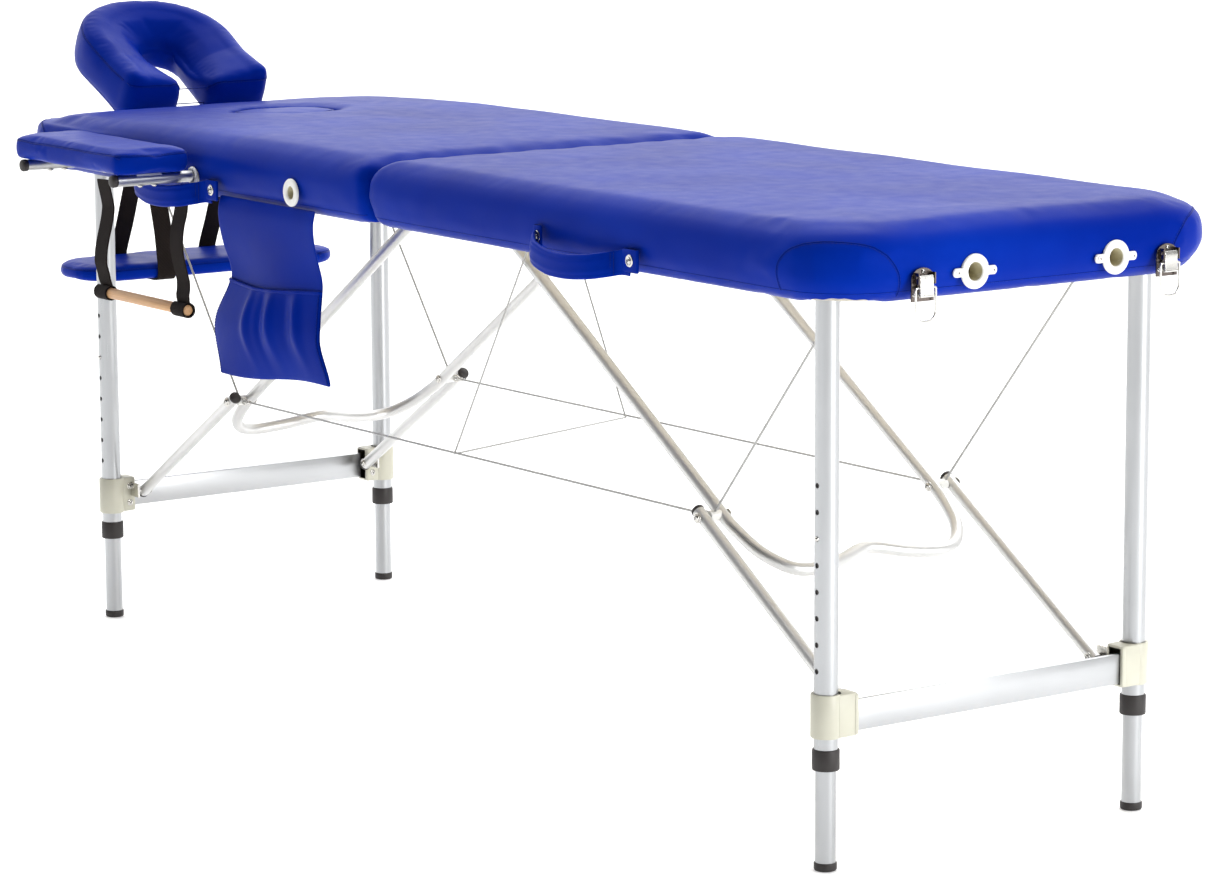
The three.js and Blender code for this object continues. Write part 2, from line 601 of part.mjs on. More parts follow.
// ---- draw latches on the foot end ----
for (const [side, k] of Object.entries(sides)) {
  const y = SOCKET_Y + k * LATCH.half;
  const w = LATCH.wide / 2;
  const plate = new THREE.Shape();
  plate.moveTo(y - w, LATCH.low);
  plate.lineTo(y + w, LATCH.low);
  plate.lineTo(y + w, LATCH.high - 12);
  plate.quadraticCurveTo(y + w, LATCH.high, y, LATCH.high);
  plate.quadraticCurveTo(y - w, LATCH.high, y - w, LATCH.high - 12);
  const x = LATCH.x + LATCH.plate;
  const ears = [-1, 1].map((e) =>
    box(x - 1, x + 8, y + e * 11.5 - 1, y + e * 11.5 + 1, 684, 697));
  const pin = bar([x + 4.5, y - 12, 692], [x + 4.5, y + 12, 692], 1.6, 10);
  add(`${side}_latch_base`, join(slab(plate, LATCH.x, x, 'yz', 5), ...ears, pin), steel);

  const lever = cut(box(x + 0.8, x + 8.5, y - 10, y + 10, 669, 694.2),
    bar([x + 4.5, y - 12, 692], [x + 4.5, y + 12, 692], 1.95, 10),
    bar([x + 5, y - 12, 680], [x + 5, y + 12, 680], 1.9, 10));
  add(`${side}_latch_lever`, lever, steel);

  const halfLoop = [[0.2, 680], [12, 680], [13.6, 679.3], [14.2, 677.5], [14.2, 648], [12.5, 643.8],
    [8, 642.4]];
  const loop = [...halfLoop, ...halfLoop.toReversed().map(([dy, z]) => [-dy, z])]
    .map(([dy, z]) => new THREE.Vector3(x + 5, y + dy, z));
  add(`${side}_latch_bail`, planarTube(loop, new THREE.Vector3(1, 0, 0), 1.4, 6), steel);
}

table.position.set(...ORIGIN_SHIFT);
const part = new THREE.Group();
part.add(table);
part.updateMatrixWorld(true);

export default part;
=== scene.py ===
"""Looks of the portable folding massage table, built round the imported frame.

Lengths in the builders are millimetres in the table's own frame: x = 0 is the fold, +X the foot
end, -Y the near long side and z = 0 the floor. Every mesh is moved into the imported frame, in
metres.
"""

import math

import bmesh
import bpy
import numpy as np
from mathutils import Matrix, Vector, noise
from mathutils.bvhtree import BVHTree


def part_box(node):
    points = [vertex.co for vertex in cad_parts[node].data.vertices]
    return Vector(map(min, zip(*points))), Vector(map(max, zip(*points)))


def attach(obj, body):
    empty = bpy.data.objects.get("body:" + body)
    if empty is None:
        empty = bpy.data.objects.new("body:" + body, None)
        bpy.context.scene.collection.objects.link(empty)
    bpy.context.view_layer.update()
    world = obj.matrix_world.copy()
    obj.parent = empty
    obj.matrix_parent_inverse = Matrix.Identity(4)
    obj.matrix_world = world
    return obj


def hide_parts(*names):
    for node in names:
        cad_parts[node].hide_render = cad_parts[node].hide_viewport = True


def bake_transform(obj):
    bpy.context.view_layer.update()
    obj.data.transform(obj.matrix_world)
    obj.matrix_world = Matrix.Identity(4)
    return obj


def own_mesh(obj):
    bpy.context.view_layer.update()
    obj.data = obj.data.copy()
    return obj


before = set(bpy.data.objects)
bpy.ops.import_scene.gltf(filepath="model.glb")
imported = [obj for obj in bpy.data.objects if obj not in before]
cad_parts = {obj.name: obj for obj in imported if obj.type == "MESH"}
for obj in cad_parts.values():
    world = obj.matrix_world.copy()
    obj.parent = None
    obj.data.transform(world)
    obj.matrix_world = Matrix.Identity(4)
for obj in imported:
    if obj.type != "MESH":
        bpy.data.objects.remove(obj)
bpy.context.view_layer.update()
PIN_LOW, PIN_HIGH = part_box("hinge_pin")
ORIGIN = np.array([(PIN_LOW.x + PIN_HIGH.x) / 2, (PIN_LOW.y + PIN_HIGH.y) / 2, 0.0])
MM = 0.001

# ---- driving dimensions, in millimetres ----
RIM_Z = 665
HALF_LENGTH, HALF_WIDTH, FOLD_GAP = 965, 287, 1
DECK_INSET, DECK_TOP = 9, 726
LEG_X = {"foot": 887, "head": -827}
LEG_Y, LEG_R, INNER_R = 234, 14, 12
HOLE_FIRST, HOLE_PITCH, HOLES, HOLE_R = 235, 30.7, 8, 3.3
BUTTON_Z = HOLE_FIRST + 5 * HOLE_PITCH
BRACE_TOP = {"foot": (67, 697), "head": (-40, 690)}
KNEE = {"foot": (592, 362), "head": (-539, 355.3)}
BRACE_R, BRACE_Y, STRUT_Y, CABLE_Y = 8, 163, 192, 178
WAVE = [(6, 163), (34, 160), (72, 150), (102, 126), (110, 96), (103, 52), (88, 0)]
CABLE_TOP = {"foot": 893, "head": -813}
SOCKET_Y, SOCKET_HALF, SOCKET_Z = 8, 105, 691.5
SIDE_SOCKETS = (-177, -441, -705)
PLUG_X, PLUG_R = -705, 77
END_BORE, SIDE_BORE, BORE_DEPTH = 10.5, 8.6, 46
CROSS_X, PIVOT_X, PIVOT_Z = -1010, -1058, 704
CUSHION_C, CUSHION_TILT = (-1107, 17, 790), math.radians(26.5)
CUSHION_HALF, CUSHION_LONG, CUSHION_BAR, ARCH_SHARE = 133, 129, 52, 0.95
SHELF_X, STRAP_Y = -1020, 78
RAIL_Y, RAIL_Z, LATCH_Y = -292, 500, 182
STRUT_FOOT_IN, STRUT_FOOT_Z = 26, 190
ELASTIC = [(232, -174.5, 708), (16, -174.5, 356), (-90, 174.5, 356), (-279, 174.5, 708)]
SIGN = {"foot": 1, "head": -1, "near": -1, "far": 1}


# ---- materials ----
class Nodes:
    """A small writer of shader nodes for one material."""

    def __init__(self, name, colour, roughness, metallic=0.0, **sockets):
        self.material = bpy.data.materials.new(name)
        self.material.use_nodes = True
        self.tree = self.material.node_tree
        self.bsdf = self.tree.nodes["Principled BSDF"]
        self.bsdf.inputs["Base Color"].default_value = (*colour, 1)
        self.bsdf.inputs["Roughness"].default_value = roughness
        self.bsdf.inputs["Metallic"].default_value = metallic
        for socket, value in sockets.items():
            self.bsdf.inputs[socket.replace("_", " ")].default_value = value
        self.material.diffuse_color = (*colour, 1)
        coords = self.tree.nodes.new("ShaderNodeTexCoord")
        self.coords = coords.outputs["Object"]

    def add(self, kind, **values):
        node = self.tree.nodes.new(kind)
        for key, value in values.items():
            if hasattr(node, key):
                setattr(node, key, value)
            else:
                node.inputs[key.replace("_", " ")].default_value = value
        return node

    def link(self, a, b):
        self.tree.links.new(a, b)

    def stretched(self, scale):
        """Coordinates scaled differently along x, y and z."""
        mapping = self.add("ShaderNodeMapping")
        mapping.inputs["Scale"].default_value = scale
        self.link(self.coords, mapping.inputs["Vector"])
        return mapping.outputs["Vector"]

    def noise(self, scale, detail=2.0, vector=None, distortion=0.0):
        node = self.add("ShaderNodeTexNoise", Scale=scale, Detail=detail, Distortion=distortion)
        self.link(vector or self.coords, node.inputs["Vector"])
        return node.outputs["Fac"]

    def colours(self, factor, stops):
        """Base colour from a ramp of (position, colour) stops."""
        ramp = self.add("ShaderNodeValToRGB").color_ramp
        node = self.tree.nodes[-1]
        for i, (position, colour) in enumerate(stops):
            element = ramp.elements[i] if i < 2 else ramp.elements.new(position)
            element.position = position
            element.color = (*colour, 1)
        self.link(factor, node.inputs["Fac"])
        self.link(node.outputs["Color"], self.bsdf.inputs["Base Color"])

    def rough(self, factor, low, high):
        """Roughness that follows a factor between two values."""
        node = self.add("ShaderNodeMapRange", To_Min=low, To_Max=high)
        self.link(factor, node.inputs["Value"])
        self.link(node.outputs["Result"], self.bsdf.inputs["Roughness"])

    def bump(self, height, distance, strength=1.0):
        node = self.add("ShaderNodeBump", Distance=distance, Strength=strength)
        self.link(height, node.inputs["Height"])
        previous = self.bsdf.inputs["Normal"].links
        if previous:
            self.link(previous[0].from_socket, node.inputs["Normal"])
        self.link(node.outputs["Normal"], self.bsdf.inputs["Normal"])


def vinyl(name, tone=1.0):
    deep, lit = (0.0005, 0.0135, 0.225), (0.001, 0.022, 0.3)
    n = Nodes(name, lit, 0.4, Specular_IOR_Level=0.035)
    n.bsdf.inputs["Specular Tint"].default_value = (0.1, 0.22, 1.0, 1)
    n.colours(n.noise(5.0, 3.0), [(0.3, tuple(c * tone for c in deep)),
                                  (0.7, tuple(c * tone for c in lit))])
    n.rough(n.noise(40.0, 3.0), 0.3, 0.44)
    grain = n.add("ShaderNodeTexVoronoi", Scale=900.0, feature="DISTANCE_TO_EDGE")
    n.link(n.coords, grain.inputs["Vector"])
    n.bump(grain.outputs["Distance"], 0.00025, 0.2)
    n.bump(n.noise(26.0, 4.0, distortion=0.6), 0.0014, 0.12)
    return n.material


def metal(name, colour, roughness, stretch, line=0.12):
    n = Nodes(name, colour, roughness, 1.0)
    streaks = n.noise(1.0, 3.0, n.stretched(stretch))
    n.rough(streaks, roughness - 0.07, roughness + 0.1)
    n.colours(n.noise(9.0, 2.0), [(0.3, tuple(c * 0.93 for c in colour)), (0.7, colour)])
    n.bump(streaks, 0.0002, line)
    return n.material


def plastic(name, colour, roughness, speckle=0.1):
    n = Nodes(name, colour, roughness)
    n.colours(n.noise(22.0, 3.0), [(0.3, tuple(c * 0.9 for c in colour)), (0.7, colour)])
    n.rough(n.noise(60.0, 2.0), roughness - 0.06, roughness + 0.08)
    n.bump(n.noise(1600.0, 1.0), 0.00015, speckle)
    return n.material


def timber(name, light, dark, along, roughness=0.45):
    n = Nodes(name, light, roughness)
    across = [220.0, 220.0, 220.0]
    across[along] = 5.0
    fibres = n.noise(1.0, 4.0, n.stretched(tuple(across)), 1.2)
    n.colours(fibres, [(0.3, dark), (0.62, light)])
    n.rough(fibres, roughness - 0.08, roughness + 0.12)
    n.bump(fibres, 0.0003, 0.3)
    return n.material


def woven(name, colour, rib):
    n = Nodes(name, colour, 0.9, Specular_IOR_Level=0.25)
    ribs = n.add("ShaderNodeTexWave", Scale=rib, Distortion=0.4, bands_direction="Z")
    n.link(n.coords, ribs.inputs["Vector"])
    threads = n.add("ShaderNodeTexWave", Scale=rib * 0.6, Distortion=0.6, bands_direction="DIAGONAL")
    n.link(n.coords, threads.inputs["Vector"])
    mix = n.add("ShaderNodeMath", operation="MULTIPLY")
    n.link(ribs.outputs["Fac"], mix.inputs[0])
    n.link(threads.outputs["Fac"], mix.inputs[1])
    n.colours(mix.outputs["Value"], [(0.1, tuple(c * 0.5 for c in colour)), (0.8, colour)])
    n.bump(mix.outputs["Value"], 0.0005, 0.6)
    return n.material


def rope(name, colour):
    n = Nodes(name, colour, 0.42, 0.55)
    lay = n.add("ShaderNodeTexWave", Scale=230.0, bands_direction="DIAGONAL")
    n.link(n.coords, lay.inputs["Vector"])
    n.colours(lay.outputs["Fac"], [(0.2, tuple(c * 0.6 for c in colour)), (0.8, colour)])
    n.bump(lay.outputs["Fac"], 0.0004, 0.5)
    return n.material


VINYL = vinyl("blue_vinyl")
# A darker copy of the vinyl: painted shade for the seam lines.
VINYL_SEAM_SHADE = vinyl("blue_vinyl_seam_painted_shade", 0.6)
ALU_Z = metal("satin_aluminium_up", (0.44, 0.45, 0.46), 0.3, (500, 500, 6))
ALU_Y = metal("satin_aluminium_across", (0.5, 0.51, 0.52), 0.34, (500, 6, 500))
ALU_X = metal("satin_aluminium_braces", (0.66, 0.66, 0.65), 0.42, (60, 90, 60), 0.05)
STEEL = metal("bright_steel", (0.62, 0.61, 0.58), 0.22, (90, 90, 90), 0.05)
NICKEL = metal("dark_nickel", (0.13, 0.11, 0.1), 0.24, (120, 120, 120), 0.05)
WHITE = plastic("white_plastic", (0.82, 0.82, 0.79), 0.38)
CREAM = plastic("cream_plastic", (0.58, 0.57, 0.47), 0.42)
LINER = plastic("cream_bore", (0.6, 0.55, 0.36), 0.5)
BLACK = plastic("black_rubber", (0.022, 0.018, 0.017), 0.55, 0.25)
DOWEL = timber("beech_dowel", (0.62, 0.36, 0.17), (0.46, 0.24, 0.1), 0)
PLY = timber("birch_ply", (0.74, 0.69, 0.6), (0.62, 0.56, 0.46), 0, 0.55)
WEBBING = woven("black_webbing", (0.012, 0.0065, 0.005), 210.0)
WIRE = rope("coated_wire", (0.5, 0.5, 0.49))
THREAD = woven("blue_thread", (0.006, 0.03, 0.33), 900.0)


# ---- geometry, as (points, faces) in millimetres ----
def merged(*parts):
    points, faces, base = [], [], 0
    for p, f in parts:
        points.append(np.asarray(p, float).reshape(-1, 3))
        faces += [[i + base for i in face] for face in f]
        base += len(points[-1])
    return np.vstack(points), faces


def skin(rings, close=False, caps=True):
    """A skin through rings of equal length."""
    n = len(rings[0])
    faces = []
    last = len(rings) if close else len(rings) - 1
    for r in range(last):
        a, b = r * n, ((r + 1) % len(rings)) * n
        faces += [[a + i, a + (i + 1) % n, b + (i + 1) % n, b + i] for i in range(n)]
    if caps and not close:
        faces.append(list(range(n))[::-1])
        faces.append([(len(rings) - 1) * n + i for i in range(n)])
    return np.vstack([np.asarray(r, float) for r in rings]), faces


def frames_along(path, close=False):
    path = np.asarray(path, float)
    if close:
        tangents = np.roll(path, -1, 0) - np.roll(path, 1, 0)
    else:
        tangents = np.gradient(path, axis=0)
    tangents /= np.linalg.norm(tangents, axis=1)[:, None]
    normal = np.cross(tangents[0], (0, 0, 1))
    if np.linalg.norm(normal) < 1e-3:
        normal = np.cross(tangents[0], (0, 1, 0))
    normals = []
    for t in tangents:
        normal = normal - t * (normal @ t)
        normal /= np.linalg.norm(normal)
        normals.append(normal)
    return path, tangents, np.array(normals)


def tube(path, r, sides=20, close=False, squeeze=None):
    """A round tube along a path, with softened ends; squeeze gives (width, height) factors."""
    path, tangents, normals = frames_along(path, close)
    across = np.cross(tangents, normals)
    angles = np.linspace(0, 2 * math.pi, sides, endpoint=False)
    rings = []
    for k, (p, n, b) in enumerate(zip(path, normals, across)):
        w, h = squeeze[k] if squeeze is not None else (1, 1)
        rings.append([p + r * (w * math.cos(a) * n + h * math.sin(a) * b) for a in angles])
    if close:
        return skin(rings, True)
    first, last = np.array(rings[0]), np.array(rings[-1])
    lip = min(0.8, r * 0.3)
    rings.insert(0, path[0] - tangents[0] * lip + (first - path[0]) * (1 - lip / r))
    rings.append(path[-1] + tangents[-1] * lip + (last - path[-1]) * (1 - lip / r))
    return skin(rings)


def rod(a, b, r, sides=20):
    return tube([a, b], r, sides)


def lathe(profile, centre, axis=(0, 0, 1), sides=40):
    """A profile of (radius, height) turned about an axis through centre."""
    turn = Vector((0, 0, 1)).rotation_difference(Vector(axis)).to_matrix()
    turn = np.array(turn)
    angles = np.linspace(0, 2 * math.pi, sides, endpoint=False)
    rings = []
    for r, h in profile:
        ring = np.array([(max(r, 1e-3) * math.cos(a), max(r, 1e-3) * math.sin(a), h)
                         for a in angles])
        rings.append(ring @ turn.T + centre)
    return skin(rings)


def sleeve(profile, centre, axis=(0, 0, 1), sides=40):
    """A lathe left open at both ends."""
    points, faces = lathe(profile, centre, axis, sides)
    return points, faces[:-2]


def block(x0, x1, y0, y1, z0, z1):
    points = [(x, y, z) for x in (x0, x1) for y in (y0, y1) for z in (z0, z1)]
    faces = [[0, 1, 3, 2], [4, 6, 7, 5], [0, 4, 5, 1], [2, 3, 7, 6], [0, 2, 6, 4], [1, 5, 7, 3]]
    return np.array(points, float), faces


def prism(outline, a, b, plane="xy"):
    """A flat outline in the named plane, pushed from a to b along the third axis."""
    order = {"xy": (0, 1, 2), "xz": (0, 2, 1), "yz": (1, 2, 0)}[plane]
    rings = []
    for depth in (a, b):
        ring = np.zeros((len(outline), 3))
        ring[:, order[0]] = [p[0] for p in outline]
        ring[:, order[1]] = [p[1] for p in outline]
        ring[:, order[2]] = depth
        rings.append(ring)
    return skin(rings)


def arc(cx, cy, r, start, end, steps=8):
    angles = np.radians(np.linspace(start, end, steps + 1))
    return [(cx + r * math.cos(a), cy + r * math.sin(a)) for a in angles]


def smooth_path(points, step, close=False):
    """Catmull-Rom through the points, at an even step."""
    p = np.asarray(points, float)
    if close:
        p = np.vstack([p[-1], p, p[0], p[1]])
    else:
        p = np.vstack([2 * p[0] - p[1], p, 2 * p[-1] - p[-2]])
    dense = []
    for i in range(1, len(p) - 2):
        for t in np.linspace(0, 1, 24, endpoint=False):
            dense.append(0.5 * (2 * p[i] + (p[i + 1] - p[i - 1]) * t
                                + (2 * p[i - 1] - 5 * p[i] + 4 * p[i + 1] - p[i + 2]) * t ** 2
                                + (3 * p[i] - p[i - 1] - 3 * p[i + 1] + p[i + 2]) * t ** 3))
    dense.append(p[-2])
    dense = np.array(dense)
    lengths = np.concatenate([[0], np.cumsum(np.linalg.norm(np.diff(dense, axis=0), axis=1))])
    count = max(2, round(lengths[-1] / step))
    at = np.linspace(0, lengths[-1], count + 1)
    path = np.stack([np.interp(at, lengths, dense[:, k]) for k in range(dense.shape[1])], 1)
    return path[:-1] if close else path


def make(name, geometry, material, angle=35, bevel=0.0):
    """A mesh object from geometry in table millimetres."""
    points, faces = geometry
    mesh = bpy.data.meshes.new(name)
    mesh.from_pydata((np.asarray(points) * MM + ORIGIN).tolist(), [], faces)
    mesh.validate()
    mesh.materials.append(material)
    obj = bpy.data.objects.new(name, mesh)
    bpy.context.scene.collection.objects.link(obj)
    repair_normals(mesh)
    mesh.shade_smooth()
    mesh.set_sharp_from_angle(angle=math.radians(angle))
    if bevel:
        edge = obj.modifiers.new("bevel", "BEVEL")
        edge.width = bevel * MM
        edge.segments = 3
        edge.limit_method = "ANGLE"
        edge.angle_limit = math.radians(40)
        edge.harden_normals = True
    return obj


def repair_normals(mesh):
    bm = bmesh.new()
    bm.from_mesh(mesh)
    bmesh.ops.recalc_face_normals(bm, faces=bm.faces)
    bm.to_mesh(mesh)
    bm.free()


def ride(obj, body, slot, *replaced):
    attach(obj, body)
    if replaced:
        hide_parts(*replaced)
    return obj


def baked(obj):
    """Applies the object's modifiers to its mesh."""
    graph = bpy.context.evaluated_depsgraph_get()
    mesh = bpy.data.meshes.new_from_object(obj.evaluated_get(graph))
    old = obj.data
    obj.modifiers.clear()
    obj.data = mesh
    bpy.data.meshes.remove(old)
    return obj


def coords(obj):
    co = np.empty(len(obj.data.vertices) * 3)
    obj.data.vertices.foreach_get("co", co)
    return (co.reshape(-1, 3) - ORIGIN) / MM


def set_coords(obj, points):
    obj.data.vertices.foreach_set("co", (points * MM + ORIGIN).ravel())
    obj.data.update()


def cut_away(obj, geometry):
    """Cuts a closed shape out of the object."""
    tool = make("cutter", geometry, VINYL)
    modifier = obj.modifiers.new("cut", "BOOLEAN")
    modifier.operation = "DIFFERENCE"
    modifier.solver = "EXACT"
    modifier.object = tool
    baked(obj)
    bpy.data.objects.remove(tool)
    return obj


def puffed(obj, voxel, cap, pressure, frames, smooth):
    """Stuffed look: even small faces, then cloth under pressure, held near its start."""
    remesh = obj.modifiers.new("remesh", "REMESH")
    remesh.mode = "VOXEL"
    remesh.voxel_size = voxel * MM
    relax = obj.modifiers.new("relax", "SMOOTH")
    relax.iterations = smooth
    relax.factor = 0.5
    baked(obj)
    start = coords(obj)
    cloth = obj.modifiers.new("cloth", "CLOTH")
    settings = cloth.settings
    settings.quality = 5
    settings.use_pressure = True
    settings.uniform_pressure_force = pressure
    settings.tension_stiffness = 15.0
    settings.compression_stiffness = 15.0
    settings.bending_stiffness = 0.6
    settings.effector_weights.gravity = 0
    cloth.point_cache.frame_end = frames
    scene = bpy.context.scene
    for f in range(1, frames + 1):
        scene.frame_set(f)
    baked(obj)
    scene.frame_set(1)
    moved = coords(obj) - start
    far = np.linalg.norm(moved, axis=1)[:, None]
    moved *= np.minimum(1, cap / np.maximum(far, 1e-6))
    set_coords(obj, start + moved)
    return obj


def rippled(points, size, depth, seed):
    """Soft uneven depth for every point, the same each run."""
    return np.array([noise.noise(Vector((p[0] / size[0], p[1] / size[1], p[2] / size[2] + seed)))
                     for p in points]) * depth


def finished(obj):
    """One level of subdivision, applied, with smooth shading."""
    sub = obj.modifiers.new("smooth", "SUBSURF")
    sub.levels = sub.render_levels = 1
    baked(obj)
    obj.data.shade_smooth()
    return obj


def on_surface(tree, path, lift):
    """The path's points moved on to a surface, with the surface normals."""
    points, normals = [], []
    for p in path:
        hit, normal, *_ = tree.find_nearest(Vector(np.asarray(p) * MM + ORIGIN))
        local = (np.array(hit) - ORIGIN) / MM
        points.append(local + lift * np.array(normal))
        normals.append(np.array(normal))
    return np.array(points), np.array(normals)


def seam(name, obj, path, body, close=False, stitch=4.2, beside=2.0, welt=0.75, rows=(1,)):
    """A rolled seam line with a row of stitches beside it, lying on obj; the seam line is drawn in
    darker vinyl, painted shade along the seam.
    """
    tree = BVHTree.FromObject(obj, bpy.context.evaluated_depsgraph_get())
    line = smooth_path(path, 3.0, close)
    for _ in range(2):
        line, _n = on_surface(tree, line, 0)
        line = smooth_path(line, 3.0, close)
    line, normals = on_surface(tree, line, -welt * 0.25)
    ride(make(name, tube(line, welt, 8, close), VINYL_SEAM_SHADE, 80), body, "vinyl")
    fine = smooth_path(line, stitch / 2, close)
    fine, normals = on_surface(tree, fine, 0.15)
    parts = []
    for row in rows:
        for k in range(1, len(fine) - 2, 2):
            along = fine[k + 1] - fine[k]
            side = np.cross(along, normals[k])
            side /= max(np.linalg.norm(side), 1e-6)
            a = fine[k] + row * beside * side
            parts.append(tube([a, a + along * 0.9, a + along * 1.35], 0.38, 6))
    if parts:
        ride(make(name + "_stitches", merged(*parts), THREAD, 80), body, "vinyl")


# ---- small fittings ----
def pan_screw(centre, axis, r, high):
    """A domed cross-recess screw head; the cross comes back as thin strokes, which are drawn dark as
    painted shade in the recess.
    """
    axis = np.array(axis, float)
    head = lathe([(r, 0), (r, high * 0.35), (r * 0.86, high * 0.72), (r * 0.55, high * 0.95),
                  (0, high)], centre, axis, 24)
    top = np.asarray(centre) + axis * high * 0.93
    u = np.cross(axis, (0.3, 0.5, 0.81))
    u /= np.linalg.norm(u)
    v = np.cross(axis, u)
    recess_shade_strokes = [tube([top - d * r * 0.5, top + d * r * 0.5], 0.45, 6) for d in (u, v)]
    return head, merged(*recess_shade_strokes)


def bolt(name, centre, axis, body, r, high, washer):
    """A screw head on its washer, its cross recess drawn in black as painted shade."""
    axis = np.array(axis, float)
    disc = lathe([(washer, 0), (washer, 0.9), (washer - 0.4, 1.2), (r, 1.2)], centre, axis, 30)
    head, marks = pan_screw(np.asarray(centre) + axis * 1.2, axis, r, high)
    ride(make(name, merged(disc, head), STEEL, 40), body, "steel")
    ride(make(name + "_recess", marks, BLACK, 60), body, "steel")


# ---- the padded halves ----
LEVELS = np.array([
    (665, 0, 100, 0), (671, 4.5, 96, 0), (680, 10.5, 91, 0), (692, 14, 86, 0), (706, 15.2, 86, 0),
    (718, 14.4, 86, 0.5), (728, 11.2, 88, 2), (736, 5.5, 89, 5), (742, -3, 90, 11),
    (746, -14, 90, 20), (748, -30, 84, 36)], float)


def plan(side, inner, outer, half, end_r, fold_r, step):
    corners = (arc(outer - end_r, -half + end_r, end_r, -90, 0, 12)
               + arc(outer - end_r, half - end_r, end_r, 0, 90, 12)
               + arc(inner + fold_r, half - fold_r, fold_r, 90, 180, 5)
               + arc(inner + fold_r, -half + fold_r, fold_r, 180, 270, 5))
    points = []
    for k, a in enumerate(corners):
        b = corners[(k + 1) % len(corners)]
        count = max(1, round(math.dist(a, b) / step)) if math.dist(a, b) > 30 else 1
        points += [(a[0] + (b[0] - a[0]) * i / count, a[1] + (b[1] - a[1]) * i / count)
                   for i in range(count)]
    return [(side * x, y) for x, y in points]


def pad_form(end):
    """The padded top of one half as a closed form, with its face hole."""
    side = SIGN[end]
    rings = []
    for z, out, r, fold in LEVELS:
        outline = plan(side, FOLD_GAP + fold, HALF_LENGTH + out, HALF_WIDTH + out, r, 10, 40)
        rings.append([(x, y, z) for x, y in outline])
    obj = make(f"{end}_pad_cover", skin(rings), VINYL)
    if end == "head":
        cut_away(obj, lathe([(PLUG_R + 2, 600), (PLUG_R + 2, 800)], (PLUG_X, 0, 0), sides=64))
    return obj


def head_drop(p):
    """How far the head end of the top sags, never down to the wooden deck inside."""
    sag = 11 * np.clip((-p[:, 0] - 560) / 340, 0, 1) ** 1.6
    roll = 6 * np.clip((-p[:, 0] - 870) / 85, 0, 1) ** 2
    return np.minimum(sag + roll, 0.9 * np.clip(p[:, 2] - DECK_TOP - 2.5, 0, None))


def dress_pad(end):
    side = SIGN[end]
    obj = puffed(pad_form(end), 9.0, 3.0, pressure=2.0, frames=12, smooth=5)
    p = coords(obj)
    wide = np.abs(p[:, 1]) / HALF_WIDTH
    fold = np.abs(p[:, 0])
    top = np.clip((p[:, 2] - 716) / 26, 0, 1)
    p[:, 2] += top * rippled(p, (150, 120, 900), 1.1, 3 + side)
    p[:, 2] += top * 1.6 * np.clip(1 - wide ** 2, 0, 1) * np.clip(fold / 160, 0, 1)
    near_fold = np.exp(-((fold - 26) / 34) ** 2)
    p[:, 2] -= top * near_fold * (1.2 + rippled(p, (60, 26, 900), 2.2, 9))
    wall = np.clip((720 - p[:, 2]) / 20, 0, 1) * np.clip((p[:, 2] - 668) / 10, 0, 1)
    tuck = np.exp(-(fold / 30) ** 2) * wall
    p[:, 1] -= np.sign(p[:, 1]) * tuck * np.abs(rippled(p, (16, 900, 40), 3.0, 1)) * (wide > 0.9)
    p[:, 1] += np.sign(p[:, 1]) * wall * rippled(p, (45, 900, 26), 1.0, 5) * (wide > 0.9)
    p[:, 0] = side * np.maximum(side * p[:, 0], FOLD_GAP)
    p[:, 2] = np.maximum(p[:, 2], RIM_Z) - head_drop(p)
    p[:, 2] -= 2.4 * np.clip((677 - p[:, 2]) / 12, 0, 1)
    set_coords(obj, p)
    keep_shell(obj, side)
    return finished(obj)


def keep_shell(obj, side):
    """Opens the underside inside the rim, where the wooden deck is."""
    bm = bmesh.new()
    bm.from_mesh(obj.data)
    inner = DECK_INSET + 4
    gone = []
    for face in bm.faces:
        c = (np.array(face.calc_center_median()) - ORIGIN) / MM
        inside = (abs(c[1]) < HALF_WIDTH - inner and side * c[0] < HALF_LENGTH - inner
                  and side * c[0] > FOLD_GAP + inner)
        if c[2] < 668 and inside:
            gone.append(face)
    bmesh.ops.delete(bm, geom=gone, context="FACES")
    bm.to_mesh(obj.data)
    bm.free()


def flange(centre, axis, bore, ears, plate):
    """A socket's face plate; ears adds the two screw ears along Y."""
    if ears:
        outline = []
        for a in np.linspace(0, 2 * math.pi, 72, endpoint=False):
            rise = 31.5 * abs(math.sin(a))
            r = 24.5 + math.sqrt(49 - rise ** 2) if rise < 7 else 20.0
            outline.append((r * math.cos(a), r * math.sin(a)))
        outline = smooth_path(outline, 2.0, True)
    else:
        outline = np.array(arc(0, 0, plate, 0, 360, 60)[:-1])
    to_bore = bore * outline / np.linalg.norm(outline, axis=1)[:, None]
    along_x = abs(axis[0]) > 0.5
    rings = []
    for depth, points in ((0.0, outline), (1.6, outline), (2.7, outline * 0.95),
                          (3.2, outline * 0.86), (3.4, to_bore * 1.25), (2.8, to_bore * 1.08),
                          (1.0, to_bore), (-9.0, to_bore)):
        ring = np.zeros((len(outline), 3))
        ring[:, 1 if along_x else 0] = points[:, 0]
        ring[:, 2] = points[:, 1]
        rings.append(ring + centre + np.array(axis) * depth)
    return skin(rings, caps=False)


